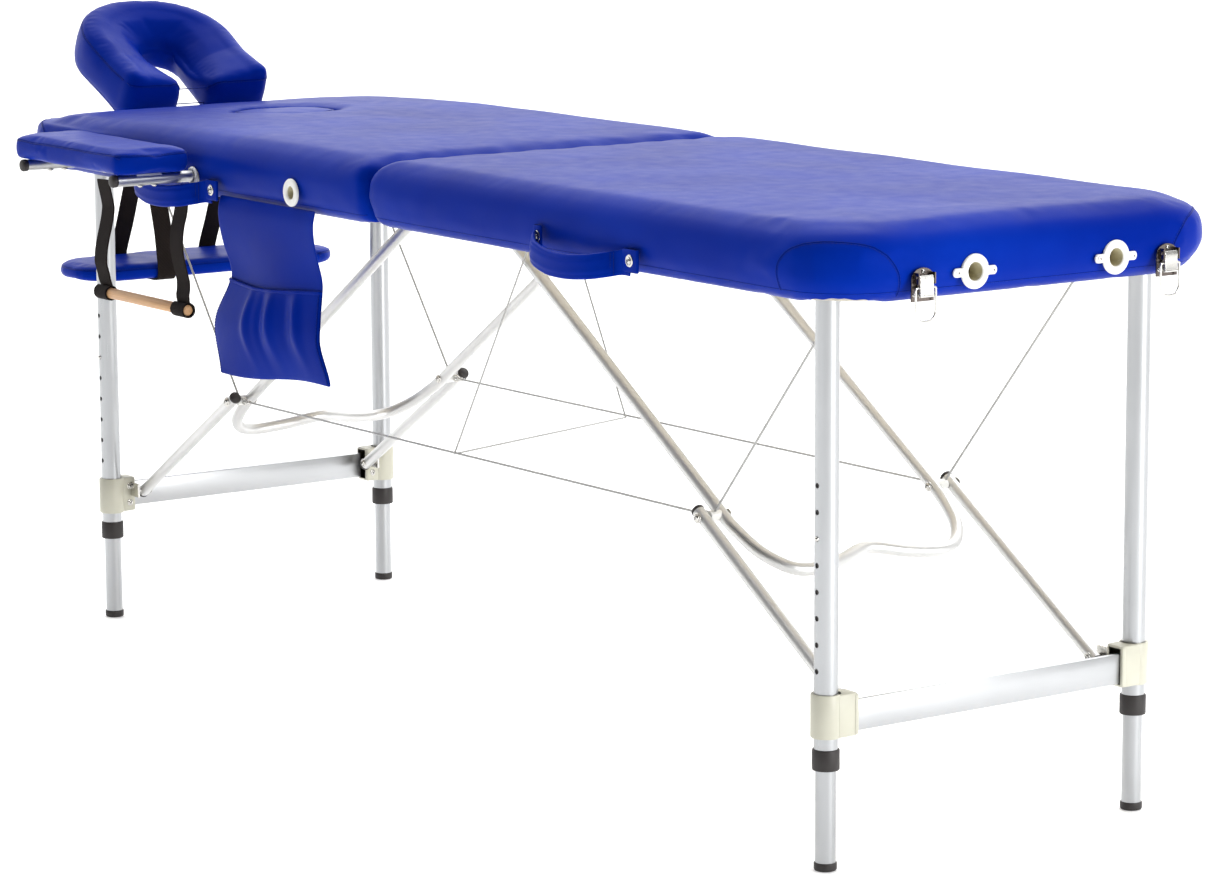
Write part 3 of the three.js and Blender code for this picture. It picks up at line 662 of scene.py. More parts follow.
def socket(name, x, y, axis, body, ears, plate=18.5):
    centre = (x, y, SOCKET_Z)
    bore = END_BORE if ears else SIDE_BORE
    ride(make(name, flange(centre, axis, bore, ears, plate), WHITE, 50), body, "cream")
    inner = sleeve([(bore, 1.0), (bore, -6), (bore - 0.6, -8), (bore - 0.6, -20)], centre, axis, 36)
    ride(make(name + "_bore", inner, LINER, 40), body, "cream")
    # The far end of the bore in dark nickel: painted shade deep in the bore.
    deep = lathe([(bore - 0.5, -20), (bore - 2.4, -20.6), (bore - 2.4, -BORE_DEPTH),
                  (0, -BORE_DEPTH)], centre, axis, 36)
    ride(make(name + "_bore_painted_shade", deep, NICKEL, 40), body, "steel")
    if ears:
        for k, s in (("a", -1), ("b", 1)):
            spot = (x + axis[0] * 3.0, y + s * 25.5, SOCKET_Z)
            head, marks = pan_screw(spot, axis, 3.4, 1.5)
            ride(make(f"{name}_screw_{k}", head, WHITE, 40), body, "cream")
            # The cross recess in dark nickel: painted shade.
            ride(make(f"{name}_screw_{k}_recess", marks, NICKEL, 60), body, "steel")


for end, pad in [(end, dress_pad(end)) for end in ("head", "foot")]:
    side = SIGN[end]
    body = f"{end}_half"
    for k, s in (("near", -1), ("far", 1)):
        y = SOCKET_Y + s * SOCKET_HALF
        cut_away(pad, rod((side * 930, y, SOCKET_Z), (side * 1000, y, SOCKET_Z), 11.5, 28))
    if end == "head":
        for x in SIDE_SOCKETS:
            cut_away(pad, rod((x, -250, SOCKET_Z), (x, -330, SOCKET_Z), 9.6, 28))
    pad.data.shade_smooth()
    ride(pad, body, "vinyl", f"{end}_pad")
    for k, s in (("near", -1), ("far", 1)):
        arch = [(873, 302, 666), (875, 302, 680), (881, 302.5, 706), (893, 301, 722),
                (912, 296, 734), (934, 283, 741), (953, 268, 742), (967, 250, 738),
                (976, 231, 728), (980, 214, 712), (980, 205, 698), (976, 199, 680),
                (967, 197, 666)]
        seam(f"{end}_{k}_corner_seam", pad, [(side * x, s * y, z) for x, y, z in arch], body)
    rim = plan(side, FOLD_GAP + 2, HALF_LENGTH + 6, HALF_WIDTH + 6, 95, 8, 30)
    path = [(x, y, 673.5) for x, y in rim if side * x > 6]
    start = max(range(len(path)), key=lambda i: math.dist(path[i], path[i - 1]))
    seam(f"{end}_rim_seam", pad, path[start:] + path[:start], body, welt=0.5, rows=())

for k, s in (("near", -1), ("far", 1)):
    socket(f"foot_{k}_socket", 978.5, SOCKET_Y + s * SOCKET_HALF, (1, 0, 0), "foot_half", True)
    socket(f"head_{k}_socket", -978.5, SOCKET_Y + s * SOCKET_HALF, (-1, 0, 0), "head_half", True)
for i, x in enumerate(SIDE_SOCKETS):
    socket(f"side_socket_{i}", x, -301, (0, -1, 0), "head_half", False, 12.5 if i else 18.5)


# ---- face plug ----
plug_profile = [(0, 0), (60, 0), (70, 0.5), (75.2, 4), (76.2, 12), (76.3, 20), (75.6, 26),
                (73.5, 29.6), (69.5, 31.6), (62, 32.7), (40, 33.6), (0, 34.2)]
rings = []
for r, h in plug_profile:
    rings.append([(PLUG_X + r * math.cos(a), r * math.sin(a), 716 + h)
                  for a in np.linspace(0, 2 * math.pi, 72, endpoint=False)])
plug = make("face_plug_cover", skin(rings[1:]), VINYL)
p = coords(plug)
p[:, 2] += np.clip((p[:, 2] - 742) / 6, 0, 1) * rippled(p, (34, 34, 900), 0.8, 2) - head_drop(p)
set_coords(plug, p)
finished(plug)
ride(plug, "plug", "vinyl", "face_plug")
ring = np.array([(PLUG_X + 72.5 * math.cos(a), 72.5 * math.sin(a), 748)
                 for a in np.linspace(0, 2 * math.pi, 60, endpoint=False)])
ring[:, 2] -= head_drop(ring)
seam("face_plug_seam", plug, ring, "plug", close=True, welt=0.6, beside=-2.2)


# ---- headrest cushion ----
def bezier(steps, *hold):
    """Points along the curve that the two or three held points after the first pull on."""
    points = []
    for t in np.linspace(0, 1, steps + 1)[1:]:
        row = [np.array(h, float) for h in hold]
        while len(row) > 1:
            row = [(1 - t) * a + t * b for a, b in zip(row, row[1:])]
        points.append(tuple(row[0]))
    return points


def horseshoe(half, long, bar, corner):
    """A closed outline (u, y): an arch at +u, two lobes that end at -u."""
    gap, inner = half - 2 * bar, long - 2 * bar
    knee = (long - half * ARCH_SHARE, half)
    tip, root = (-long, half), (-long, gap)
    points = [knee, (-long + corner, half)]
    points += bezier(10, points[-1], tip, (-long, half - corner))
    points += [(-long, gap + corner)]
    points += bezier(10, points[-1], root, (-long + corner, gap))
    points += [(inner - gap, gap)]
    points += bezier(10, points[-1], (inner, gap), (inner, 0))
    arch = bezier(20, (long, 0), (long, half * 0.55), (long - half * 0.3, half), knee)
    upper = arch[:-1] + points
    lower = [(u, -y) for u, y in upper[:-1]][::-1]
    outline = [(long, 0)] + upper + lower
    start = outline.index((-long + corner, -half))
    return outline[start:] + outline[:start]


def cushion_point(u, y, n):
    """From the cushion's own (u away from the table, y, n out of its face) to the table."""
    c, s = math.cos(CUSHION_TILT), math.sin(CUSHION_TILT)
    return (CUSHION_C[0] - u * c + n * s, CUSHION_C[1] + y, CUSHION_C[2] + u * s + n * c)


def even(outline, step):
    """Points along a closed outline at an even step."""
    p = np.asarray(outline, float)
    p = np.vstack([p, p[:1]])
    run = np.concatenate([[0], np.cumsum(np.linalg.norm(np.diff(p, axis=0), axis=1))])
    at = np.linspace(0, run[-1], round(run[-1] / step), endpoint=False)
    return np.stack([np.interp(at, run, p[:, k]) for k in range(2)], 1)


layers = [(-33, 12), (-27, 6), (-15, 2.5), (10, 2), (29, 4), (38, 9), (42, 17)]
rings = []
base = even(horseshoe(CUSHION_HALF, CUSHION_LONG, CUSHION_BAR, 26), 6)
after, before = np.roll(base, -1, 0), np.roll(base, 1, 0)
outward = (after - before)[:, ::-1] * (1, -1)
outward /= np.linalg.norm(outward, axis=1)[:, None]
for n, inset in layers:
    ring = base - outward * inset
    rings.append([cushion_point(u, y, n) for u, y in ring])
cushion = make("headrest_cushion_cover", skin(rings), VINYL)
puffed(cushion, 5.0, 8.0, pressure=4.5, frames=20, smooth=3)


def cushion_local(points):
    c, s = math.cos(CUSHION_TILT), math.sin(CUSHION_TILT)
    d = points - np.array(CUSHION_C)
    return np.stack([-d[:, 0] * c + d[:, 2] * s, d[:, 1], d[:, 0] * s + d[:, 2] * c], 1)


def from_outer_edge(q):
    """Distance of cushion points from the horseshoe's outer edge, across the bar."""
    knee = CUSHION_LONG - CUSHION_HALF * ARCH_SHARE
    round_end = np.hypot((q[:, 0] - knee) / ARCH_SHARE, q[:, 1])
    straight = np.abs(q[:, 1])
    return CUSHION_HALF - np.where(q[:, 0] > knee, round_end, straight)


p = coords(cushion)
q = cushion_local(p)
across = np.clip(from_outer_edge(q) / 100, 0, 1)
face = np.clip((q[:, 2] + 6) / 38, 0, 1)
crown = 4.0 * np.sin(np.clip(across * 2.2, 0, 1) * math.pi)
lobes = np.clip((-40 - q[:, 0]) / 80, 0, 1)
sink = (26 - 12 * lobes) * across ** 1.7 - crown - 9 * lobes
away = np.array([math.sin(CUSHION_TILT), 0, math.cos(CUSHION_TILT)])
creases = rippled(q, (24, 24, 50), 2.6, 4)
lobe_ends = np.exp(-((q[:, 0] + 118) / 16) ** 2) * np.exp(-((q[:, 2] - 30) / 9) ** 2)
puckers = rippled(q, (5, 7, 9), 2.4, 8) * lobe_ends
p -= (face * sink)[:, None] * away
p += (creases * 0.5 * np.clip(1 - np.abs(q[:, 2]) / 45, 0.3, 1) + puckers)[:, None] * away
set_coords(cushion, p)
finished(cushion)
ride(cushion, "headrest_top", "vinyl", "headrest_cushion")


def cushion_seam(name, height, **looks):
    """The seam on the outer wall and the lobe ends, from one inner corner to the other."""
    inset = 2
    outline = horseshoe(CUSHION_HALF - inset, CUSHION_LONG - inset, CUSHION_BAR - inset, 24)
    outline = even(outline, 11)
    outer = [k for k, (u, y) in enumerate(outline) if abs(y) > 34 or u > 60]
    outer = [k for k in outer if not (abs(outline[k][1]) < 60 and -112 < outline[k][0] < 60)]
    start = next(i for i, k in enumerate(outer) if outer[i - 1] != k - 1)
    order = outer[start:] + outer[:start]
    path = [cushion_point(outline[k][0], outline[k][1], height) for k in order]
    seam(name, cushion, path, "headrest_top", welt=0.8, beside=-2.2, **looks)


cushion_seam("headrest_cushion_seam", 36)
cushion_seam("headrest_cushion_low_seam", -26, rows=())

boards = []
for s in (-1, 1):
    outline = arc(48, s * 76, 20, -90, 90, 12) + arc(-62, s * 76, 20, 90, 270, 12)
    boards.append(skin([[cushion_point(u, y, n) for u, y in outline] for n in (-43, -34)]))
ride(make("headrest_board", merged(*boards), BLACK, 40, 0.8), "headrest_top", "black",
     "headrest_platform")


# ---- armrest and hanging shelf ----
def rounded(x0, x1, y0, y1, r, steps=8):
    return (arc(x1 - r, y0 + r, r, -90, 0, steps) + arc(x1 - r, y1 - r, r, 0, 90, steps)
            + arc(x0 + r, y1 - r, r, 90, 180, steps) + arc(x0 + r, y0 + r, r, 180, 270, steps))


def board(name, box2, r, levels, cap, body, node, seam_z, crown):
    """A small padded board; box2 is (x0, x1, y0, y1), levels are (z, inset) from below."""
    x0, x1, y0, y1 = box2
    rings = []
    for z, inset in levels:
        outline = rounded(x0 + inset, x1 - inset, y0 + inset, y1 - inset, max(r - inset, 3))
        rings.append([(x, y, z) for x, y in outline])
    obj = make(name, skin(rings), VINYL)
    puffed(obj, 4.5, cap, pressure=3.0, frames=14, smooth=3)
    p = coords(obj)
    top = np.clip((p[:, 2] - levels[-1][0] + 8) / 8, 0, 1)
    across = 1 - ((p[:, 1] - (y0 + y1) / 2) / ((y1 - y0) / 2)) ** 2
    p[:, 2] += top * (crown * np.clip(across, 0, 1) + rippled(p, (60, 40, 900), 0.9, 6))
    p[:, 2] = np.maximum(p[:, 2], levels[0][0])
    set_coords(obj, p)
    finished(obj)
    ride(obj, body, "vinyl", node)
    edge = rounded(x0 + 1, x1 - 1, y0 + 1, y1 - 1, r)
    seam(name + "_seam", obj, [(x, y, seam_z) for x, y in edge], body, close=True, welt=0.8,
         beside=-2.2)


board("armrest_cover", (-735, -412, -430, -315), 22,
      [(700.5, 5), (703, 1.5), (709, 0), (722, 0), (728, 2), (731, 7)], 3.0,
      "armrest", "armrest_pad", 727, 1.5)
board("arm_shelf_cover", (-1095, -945, -196, 248), 62,
      [(478.5, 8), (480, 4), (485, 0.8), (491, 0), (497, 2.5), (501, 9)], 1.5,
      "shelf", "arm_shelf", 496, 0.6)

rods = [rod((x, -421, SOCKET_Z), (x, -262, SOCKET_Z), 8, 28) for x in SIDE_SOCKETS[1:]]
rods.append(block(-711, -435, -391, -353, 694.2, 699.4))
ride(make("armrest_rods", merged(*rods), ALU_Y, 40), "armrest", "aluminium", "armrest_frame")
caps = [lathe([(8.4, 0), (8.6, 1.0), (8.6, 5.5), (7.6, 7.6), (5.2, 8.6), (0, 8.9)],
              (x, -420, SOCKET_Z), (0, -1, 0), 30) for x in SIDE_SOCKETS[1:]]
ride(make("armrest_rod_caps", merged(*caps), BLACK, 50), "armrest", "black")
for i, x in enumerate(SIDE_SOCKETS[1:]):
    for j, y in enumerate((-383, -361)):
        bolt(f"armrest_screw_{i}{j}", (x, y, 683.7), (0, 0, -1), "armrest", 3.2, 1.6, 4.8)

frame_parts = []
for k in (-1, 1):
    y = SOCKET_Y + k * SOCKET_HALF
    frame_parts.append(rod((-933, y, SOCKET_Z), (CROSS_X, y, SOCKET_Z), 9, 28))
    y = SOCKET_Y + k * 60
    outline = [(-1004, 684), (-1004, 697), (-1056, 710), (-1064, 709), (-1066, 699), (-1058, 696)]
    frame_parts.append(prism(outline, y - 2.5, y + 2.5, "xz"))
frame_parts.append(rod((CROSS_X, -117, SOCKET_Z), (CROSS_X, 133, SOCKET_Z), 9, 28))
frame_parts.append(rod((PIVOT_X, -58, PIVOT_Z), (PIVOT_X, 74, PIVOT_Z), 4, 20))
ride(make("headrest_tubes", merged(*frame_parts), ALU_Y, 40), "headrest", "aluminium",
     "headrest_frame")
ends = [lathe([(9.4, 0), (9.6, 1), (9.6, 4), (8, 6), (0, 6.6)], (CROSS_X, y, SOCKET_Z), (0, d, 0),
              30) for y, d in ((-116, -1), (132, 1))]
ride(make("headrest_tube_caps", merged(*ends), BLACK, 50), "headrest", "black")


# ---- legs ----
def hollow(r_out, r_in, z0, z1, centre):
    """An upright tube with a real bore."""
    profile = [(r_in, z0), (r_out - 0.5, z0), (r_out, z0 + 0.5), (r_out, z1 - 0.5),
               (r_out - 0.5, z1), (r_in, z1)]
    n = 48
    points, faces = sleeve(profile, centre, sides=n)
    last = (len(profile) - 1) * n
    return points, faces + [[last + i, last + (i + 1) % n, (i + 1) % n, i] for i in range(n)]


def leg(end, name):
    """The outer and inner tube, collar, caps, push button and clamp of one leg."""
    x, s = LEG_X[end], SIGN[name]
    centre = (x, s * LEG_Y, 0)
    body = f"{end}_leg_frame"
    slider = f"{end}_{name}_leg_slider"
    outer = make(f"{end}_{name}_leg_tube", hollow(LEG_R, 12.6, 119, 697, centre), ALU_Z, 40)
    drills = [rod((x, s * (LEG_Y + 6), HOLE_FIRST + i * HOLE_PITCH),
                  (x, s * (LEG_Y + 20), HOLE_FIRST + i * HOLE_PITCH), HOLE_R, 18)
              for i in range(HOLES)]
    cut_away(outer, merged(*drills))
    outer.data.shade_smooth()
    outer.data.set_sharp_from_angle(angle=math.radians(40))
    ride(outer, body, "aluminium", f"{end}_{name}_leg_outer")
    # A black sleeve just inside the wall shows through the drilled holes: painted shade in the holes.
    dark = sleeve([(12.7, 225), (12.7, 470)], centre, sides=32)
    ride(make(f"{end}_{name}_leg_hole_shade", dark, BLACK), body, "black")
    top_cap = lathe([(13.9, 695), (14.3, 696.5), (13.2, 699), (0, 699.6)], centre, sides=36)
    ride(make(f"{end}_{name}_leg_top_cap", top_cap, BLACK, 50), body, "black")
    collar = sleeve([(14, 118.6), (15.6, 119), (16, 120.2), (16, 141.6), (15.4, 143), (14, 143.5)],
                    centre, sides=48)
    ride(make(f"{end}_{name}_collar", collar, BLACK, 40), body, "black")
    inner = make(f"{end}_{name}_foot_tube", hollow(INNER_R, 10.6, 5, 430, centre), ALU_Z, 40)
    ride(inner, slider, "aluminium", f"{end}_{name}_leg_inner")
    foot = lathe([(0, 0), (11, 0), (12.6, 0.6), (13.4, 2), (13.5, 8.4), (13.1, 9.6), (12, 10)],
                 centre, sides=40)
    ride(make(f"{end}_{name}_foot_cap", foot, BLACK, 40), slider, "black")
    button = lathe([(2.9, 6), (2.9, 14.4), (2.4, 15.7), (1.3, 16.4), (0, 16.6)],
                   (x, s * LEG_Y, BUTTON_Z), (0, s, 0), 24)
    ride(make(f"{end}_{name}_button", button, STEEL, 50), f"{end}_{name}_button", "steel",
         f"{end}_{name}_snap_button")
    clamp(end, name)


def clamp(end, name):
    """The cream sleeve round the leg, its arm to the crossbar, and the strut's bracket."""
    x, s, m = LEG_X[end], SIGN[name], SIGN[end]
    body = f"{end}_leg_frame"
    wrap = sleeve([(14.4, 157), (17.2, 157), (18, 158.2), (18, 206.8), (17.2, 208), (14.4, 208)],
                  (x, s * LEG_Y, 0), sides=40)
    y_in, y_out = s * (LEG_Y - 4), s * (LEG_Y - 34)
    arm = rounded_block(x - 11 * m, x + 17.6 * m, y_in, y_out, 157, 208, 3.0)
    lip = rounded_block(x - 8 * m, x + 18.6 * m, s * (LEG_Y - 28), y_out, 158.5, 206.5, 2.0)
    obj = make(f"{end}_{name}_clamp", merged(wrap, arm, lip), CREAM, 40)
    ride(obj, body, "cream", f"{end}_{name}_leg_clamp")
    px = x - STRUT_FOOT_IN * m
    plate = block(*sorted((px - 8 * m, px + 20 * m)), s * 205, s * 208.5, 180, 201)
    ride(make(f"{end}_{name}_strut_bracket", plate, STEEL, 30, 1.0), body, "steel")
    pin = rod((px, s * 206, STRUT_FOOT_Z), (px, s * 183.5, STRUT_FOOT_Z), 3, 20)
    ride(make(f"{end}_{name}_strut_pin", pin, STEEL, 40), body, "steel")
    for i, z in enumerate((170, 195)):
        bolt(f"{end}_{name}_clamp_bolt_{i}", (x - 11 * m, s * (LEG_Y - 24), z), (-m, 0, 0), body,
             3.2, 1.8, 4.6)


def rounded_block(x0, x1, y0, y1, z0, z1, r):
    """A box whose upright edges and rims are rounded, as one skin."""
    x0, x1 = sorted((x0, x1))
    y0, y1 = sorted((y0, y1))
    rings = []
    for z, inset in ((z0, r), (z0 + r * 0.3, r * 0.3), (z0 + r, 0), (z1 - r, 0),
                     (z1 - r * 0.3, r * 0.3), (z1, r)):
        outline = rounded(x0 + inset, x1 - inset, y0 + inset, y1 - inset, r, 5)
        rings.append([(x, y, z) for x, y in outline])
    return skin(rings)


for end in ("head", "foot"):
    for name in ("near", "far"):
        leg(end, name)
    x = LEG_X[end] + SIGN[end] * 10
    bar = rounded_block(x - 3.5, x + 3.5, -213.5, 213.5, 161.5, 198.5, 1.6)
    ride(make(f"{end}_crossbar_tube", bar, ALU_Y, 40), f"{end}_leg_frame", "aluminium",
         f"{end}_crossbar")


# ---- braces and struts ----
def brace_points(end):
    """The path of one brace: two straight arms joined by the wavy lower loop."""
    top = np.array([BRACE_TOP[end][0], 0, BRACE_TOP[end][1]], float)
    knee = np.array([KNEE[end][0], 0, KNEE[end][1]], float)
    slope = (knee - top) / np.linalg.norm(knee - top)
    half = [(-60, BRACE_Y), (-25, BRACE_Y)] + WAVE
    wave = half + [(u, -y) for u, y in reversed(half[:-1])]
    bend = smooth_path([knee + slope * u + np.array([0, y, 0]) for u, y in wave], 6)
    start = top - slope * (BRACE_R + 1)
    arm = [start + (bend[0] - [0, bend[0][1], 0] - start) * t + [0, BRACE_Y, 0]
           for t in np.linspace(0, 1, 8, endpoint=False)]
    other = [p * [1, -1, 1] for p in reversed(arm)]
    return np.vstack([arm, bend, other]), knee


for end in ("head", "foot"):
    m = SIGN[end]
    path, knee = brace_points(end)
    body = f"{end}_brace"
    ride(make(f"{end}_brace_tube", tube(path, BRACE_R, 24), ALU_X, 40), body, "aluminium",
         f"{end}_brace")
    for name in ("near", "far"):
        s = SIGN[name]
        eye = knee + [0, s * (BRACE_Y + 4), 0]
        boss = lathe([(7, 0), (7, 14.5), (6.2, 16)], eye, (0, s, 0), 30)
        ride(make(f"{end}_{name}_knee_boss", boss, WHITE, 40), body, "cream")
        bolt(f"{end}_{name}_knee_bolt", knee + [0, s * (BRACE_Y - 7.6), 0], (0, -s, 0), body,
             4.4, 3.0, 6.4)
        top = (BRACE_TOP[end][0], s * (BRACE_Y - 7.8), BRACE_TOP[end][1])
        bolt(f"{end}_{name}_brace_bolt", top, (0, -s, 0), body, 4.2, 2.4, 6.2)
    for name in ("near", "far"):
        s = SIGN[name]
        high = np.array([KNEE[end][0], s * STRUT_Y, KNEE[end][1]], float)
        low = np.array([LEG_X[end] - STRUT_FOOT_IN * m, s * STRUT_Y, STRUT_FOOT_Z], float)
        line = (low - high) / np.linalg.norm(low - high)
        a, b = high - line * 12, low + line * 9
        body = f"{end}_struts"
        ride(make(f"{end}_{name}_strut_tube", rod(a, b, BRACE_R, 24), ALU_X, 40), body,
             "aluminium", f"{end}_{name}_strut")
        caps = [lathe([(8.2, -2), (8.4, -1.4), (8.4, 1.2), (7.4, 2.6), (0, 3.2)], centre, axis, 30)
                for centre, axis in ((a, -line), (b, line))]
        ride(make(f"{end}_{name}_strut_caps", merged(*caps), BLACK, 50), body, "black")
        bolt(f"{end}_{name}_strut_knee_bolt", high + [0, s * 7.8, 0], (0, s, 0), body, 5, 3, 7)
        bolt(f"{end}_{name}_strut_foot_bolt", low - [0, s * 7.8, 0], (0, -s, 0), body, 4, 2, 6)


# ---- cables ----
def straight(a, b):
    a, b = np.asarray(a, float), np.asarray(b, float)
    count = max(2, round(np.linalg.norm(b - a) / 14))
    return [a + (b - a) * t for t in np.linspace(0, 1, count)]


def ferrule(name, at, along, body):
    """A thimble eye and its crimped sleeve at a cable's end."""
    at, along = np.asarray(at, float), np.asarray(along, float)
    along = along / np.linalg.norm(along)
    up = np.cross(along, (0, 1, 0))
    up /= np.linalg.norm(up)
    loop = [at + along * (7 - 7 * math.cos(a)) + up * 4.2 * math.sin(a)
            for a in np.linspace(0, 2 * math.pi, 28, endpoint=False)]
    crimp = tube([at + along * d for d in (13, 14, 23, 24)], 2.6, 14,
                 squeeze=[(0.8, 0.9), (1, 1), (1, 1), (0.8, 0.9)])
    ride(make(name, merged(tube(loop, 1.3, 10, True), crimp), STEEL, 50), body, "steel")


for name in ("near", "far"):
    y = SIGN[name] * CABLE_Y
    head, foot = [np.array((KNEE[end][0] - SIGN[end] * 9, y, KNEE[end][1])) for end in ("head", "foot")]
    middle = head - (foot - head) * head[0] / (foot[0] - head[0])
    for end, start in (("head", head), ("foot", foot)):
        obj = make(f"{end}_{name}_long_cable_half", tube(straight(start, middle), 1.5, 12), WIRE)
        ride(obj, f"{end}_half", "wire", f"{name}_long_cable")
        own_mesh(obj)
        ferrule(f"{end}_{name}_knee_ferrule", start + [SIGN[end] * 4, 0, 0], middle - start,
                f"{end}_brace")
for end in ("head", "foot"):
    for name in ("near", "far"):
        y = SIGN[name] * CABLE_Y
        a = np.array([KNEE[end][0], y, KNEE[end][1]], float)
        b = np.array([CABLE_TOP[end], y, 714], float)
        d = (b - a) / np.linalg.norm(b - a)
        a, b = a + d * 9, b - d * 10
        obj = make(f"{end}_{name}_short_cable_run", tube(straight(a, b), 1.5, 12), WIRE)
        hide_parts(f"{end}_{name}_short_cable")
        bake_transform(obj)
        ferrule(f"{end}_{name}_top_ferrule", b + d * 6, -d, f"{end}_half")
        hook = [(b[0] + d[0] * 2, y, b[2] + 2), (b[0], y, 712), (b[0] - SIGN[end] * 4, y, 719),
                (b[0] - SIGN[end] * 4, y, 722)]
        ride(make(f"{end}_{name}_top_eyelet", tube(smooth_path(hook, 2), 1.8, 12), STEEL, 60),
             f"{end}_half", "steel")

for i, (a, b) in enumerate(zip(ELASTIC, ELASTIC[1:])):
    obj = make(f"elastic_run_{i}", tube(straight(a, b), 1.2, 10), WIRE)
    ride(obj, "head_half" if i else "foot_half", "wire", "elastic_cord")
    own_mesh(obj)


# ---- webbing ----
def band(path, across, wide, thick):
    """Flat webbing along a path: across is the width direction at every point."""
    path, tangents, _ = frames_along(path)
    across = np.asarray(across, float)
    rings = []
    for p, t in zip(path, tangents):
        a = across - t * (across @ t)
        a /= np.linalg.norm(a)
        n = np.cross(t, a)
        lower = [(-1, -0.35), (-0.97, -1), (-0.5, -1), (0, -1), (0.5, -1), (0.97, -1), (1, -0.35)]
        shape = lower + [(-u, -v) for u, v in lower]
        rings.append([p + u * wide / 2 * a + v * thick / 2 * n for u, v in shape])
    return skin(rings)


def shelf_strap(name, y):
    """A loop round the headrest's cross tube and under the shelf, its legs slack and wavy."""
    r, left, right = 11.4, SHELF_X - 76.6, SHELF_X + 76.6
    over = [(CROSS_X + r * math.cos(a), SOCKET_Z + r * math.sin(a))
            for a in np.linspace(0, math.pi, 9)]
    back = [(-1024, 660), (-1040, 620), (-1062, 575), (-1084, 530), (left, 500)]
    under = [(left, 484), (left + 5, 477.4), (SHELF_X - 40, 476.4), (SHELF_X, 476.2),
             (SHELF_X + 40, 476.4), (right - 5, 477.4), (right, 484)]
    front = [(right, 500), (-950, 530), (-960, 575), (-972, 620), (-990, 660)]
    loop = over + back + under + front
    path = smooth_path([(x, y, z) for x, z in loop], 5, True)
    wave = np.sin((path[:, 2] - 480) / 34.0) * 2.2 * np.clip((path[:, 2] - 505) / 40, 0, 1)
    path[:, 0] += wave * np.clip((688 - path[:, 2]) / 40, 0, 1)
    path = np.vstack([path, path[:1]])
    obj = make(name + "_band", band(path, (0, 1, 0), 30, 2.2), WEBBING, 50)
    ride(obj, "shelf", "webbing", name)


shelf_strap("near_shelf_strap", SOCKET_Y - STRAP_Y)
shelf_strap("far_shelf_strap", SOCKET_Y + STRAP_Y)


def towel_strap(name, x, phase):
    """A band down to the bar and round it."""
    drop = np.linspace(662, 519, 26)
    bow = 7.0 * np.sin((662 - drop) / 143 * math.pi * 1.7 + phase) * np.clip((662 - drop) / 40, 0, 1)
    bow *= np.clip((drop - 512) / 30, 0, 1)
    legs = [(x + 2.0 * math.sin((662 - z) / 48 + phase), RAIL_Y + b, z) for z, b in zip(drop, bow)]
    eye = [(x, RAIL_Y + 9.6 * math.sin(a), RAIL_Z + 9.6 * math.cos(a))
           for a in np.linspace(0.25, 2 * math.pi - 0.25, 22)]
    path = smooth_path(legs + eye, 4)
    ride(make(name + "_band", band(path, (1, 0, 0), 35, 2.4), WEBBING, 50), "towel_rail",
         "webbing", name)


towel_strap("towel_bar_head_strap", -720, 0.4)
towel_strap("towel_bar_foot_strap", -495, 2.2)
bar = lathe([(6.4, 0), (7.3, 0.4), (7.7, 1.4), (7.7, 253.6), (7.3, 254.6), (6.4, 255)],
            (-735, RAIL_Y, RAIL_Z), (1, 0, 0), 36)
ride(make("towel_bar_dowel", bar, DOWEL, 50), "towel_rail", "wood", "towel_bar")


# ---- pocket ----
def cloth_sheet(name, rows, thick):
    """A sheet through rows of points, given a real thickness."""
    count = len(rows[0])
    points = [p for row in rows for p in row]
    faces = [[r * count + i, r * count + i + 1, (r + 1) * count + i + 1, (r + 1) * count + i]
             for r in range(len(rows) - 1) for i in range(count - 1)]
    obj = make(name, (points, faces), VINYL)
    solid = obj.modifiers.new("thickness", "SOLIDIFY")
    solid.thickness = thick * MM
    solid.offset = 0
    return finished(obj)


def eased(t, stops, values):
    """A value that eases from each stop to the next."""
    i = min(max(int(np.searchsorted(stops, t, side="right")) - 1, 0), len(stops) - 2)
    s = (t - stops[i]) / (stops[i + 1] - stops[i])
    return values[i] + (values[i + 1] - values[i]) * s * s * (3 - 2 * s)


def pocket_point(u, t):
    """The hanging sheet: u across from the head side, t down from the rim."""
    left = eased(t, (0, 0.28, 0.45, 0.72, 1), (-377, -379, -368, -390, -374))
    right = eased(t, (0, 0.28, 0.45, 0.72, 1), (-126, -128, -123, -114, -92))
    drawn = 15.0 * math.exp(-((t - 0.42) / 0.2) ** 2) * (0.75 + 0.25 * math.cos(u * 5))
    kick = 15.0 * max(0.0, t - 0.72) ** 1.4 * (0.6 + 1.6 * u)
    soft = 1.8 * math.sin(u * 6.5 + 4 * t) * t
    x = left + (right - left) * u
    z = 671 - t * (244 - 15 * u) - 3 * math.sin(u * math.pi * 2) * t
    tucked = 5.0 * math.exp(-(t / 0.05) ** 2)
    return x, -300.3 + drawn + kick + soft + tucked, z


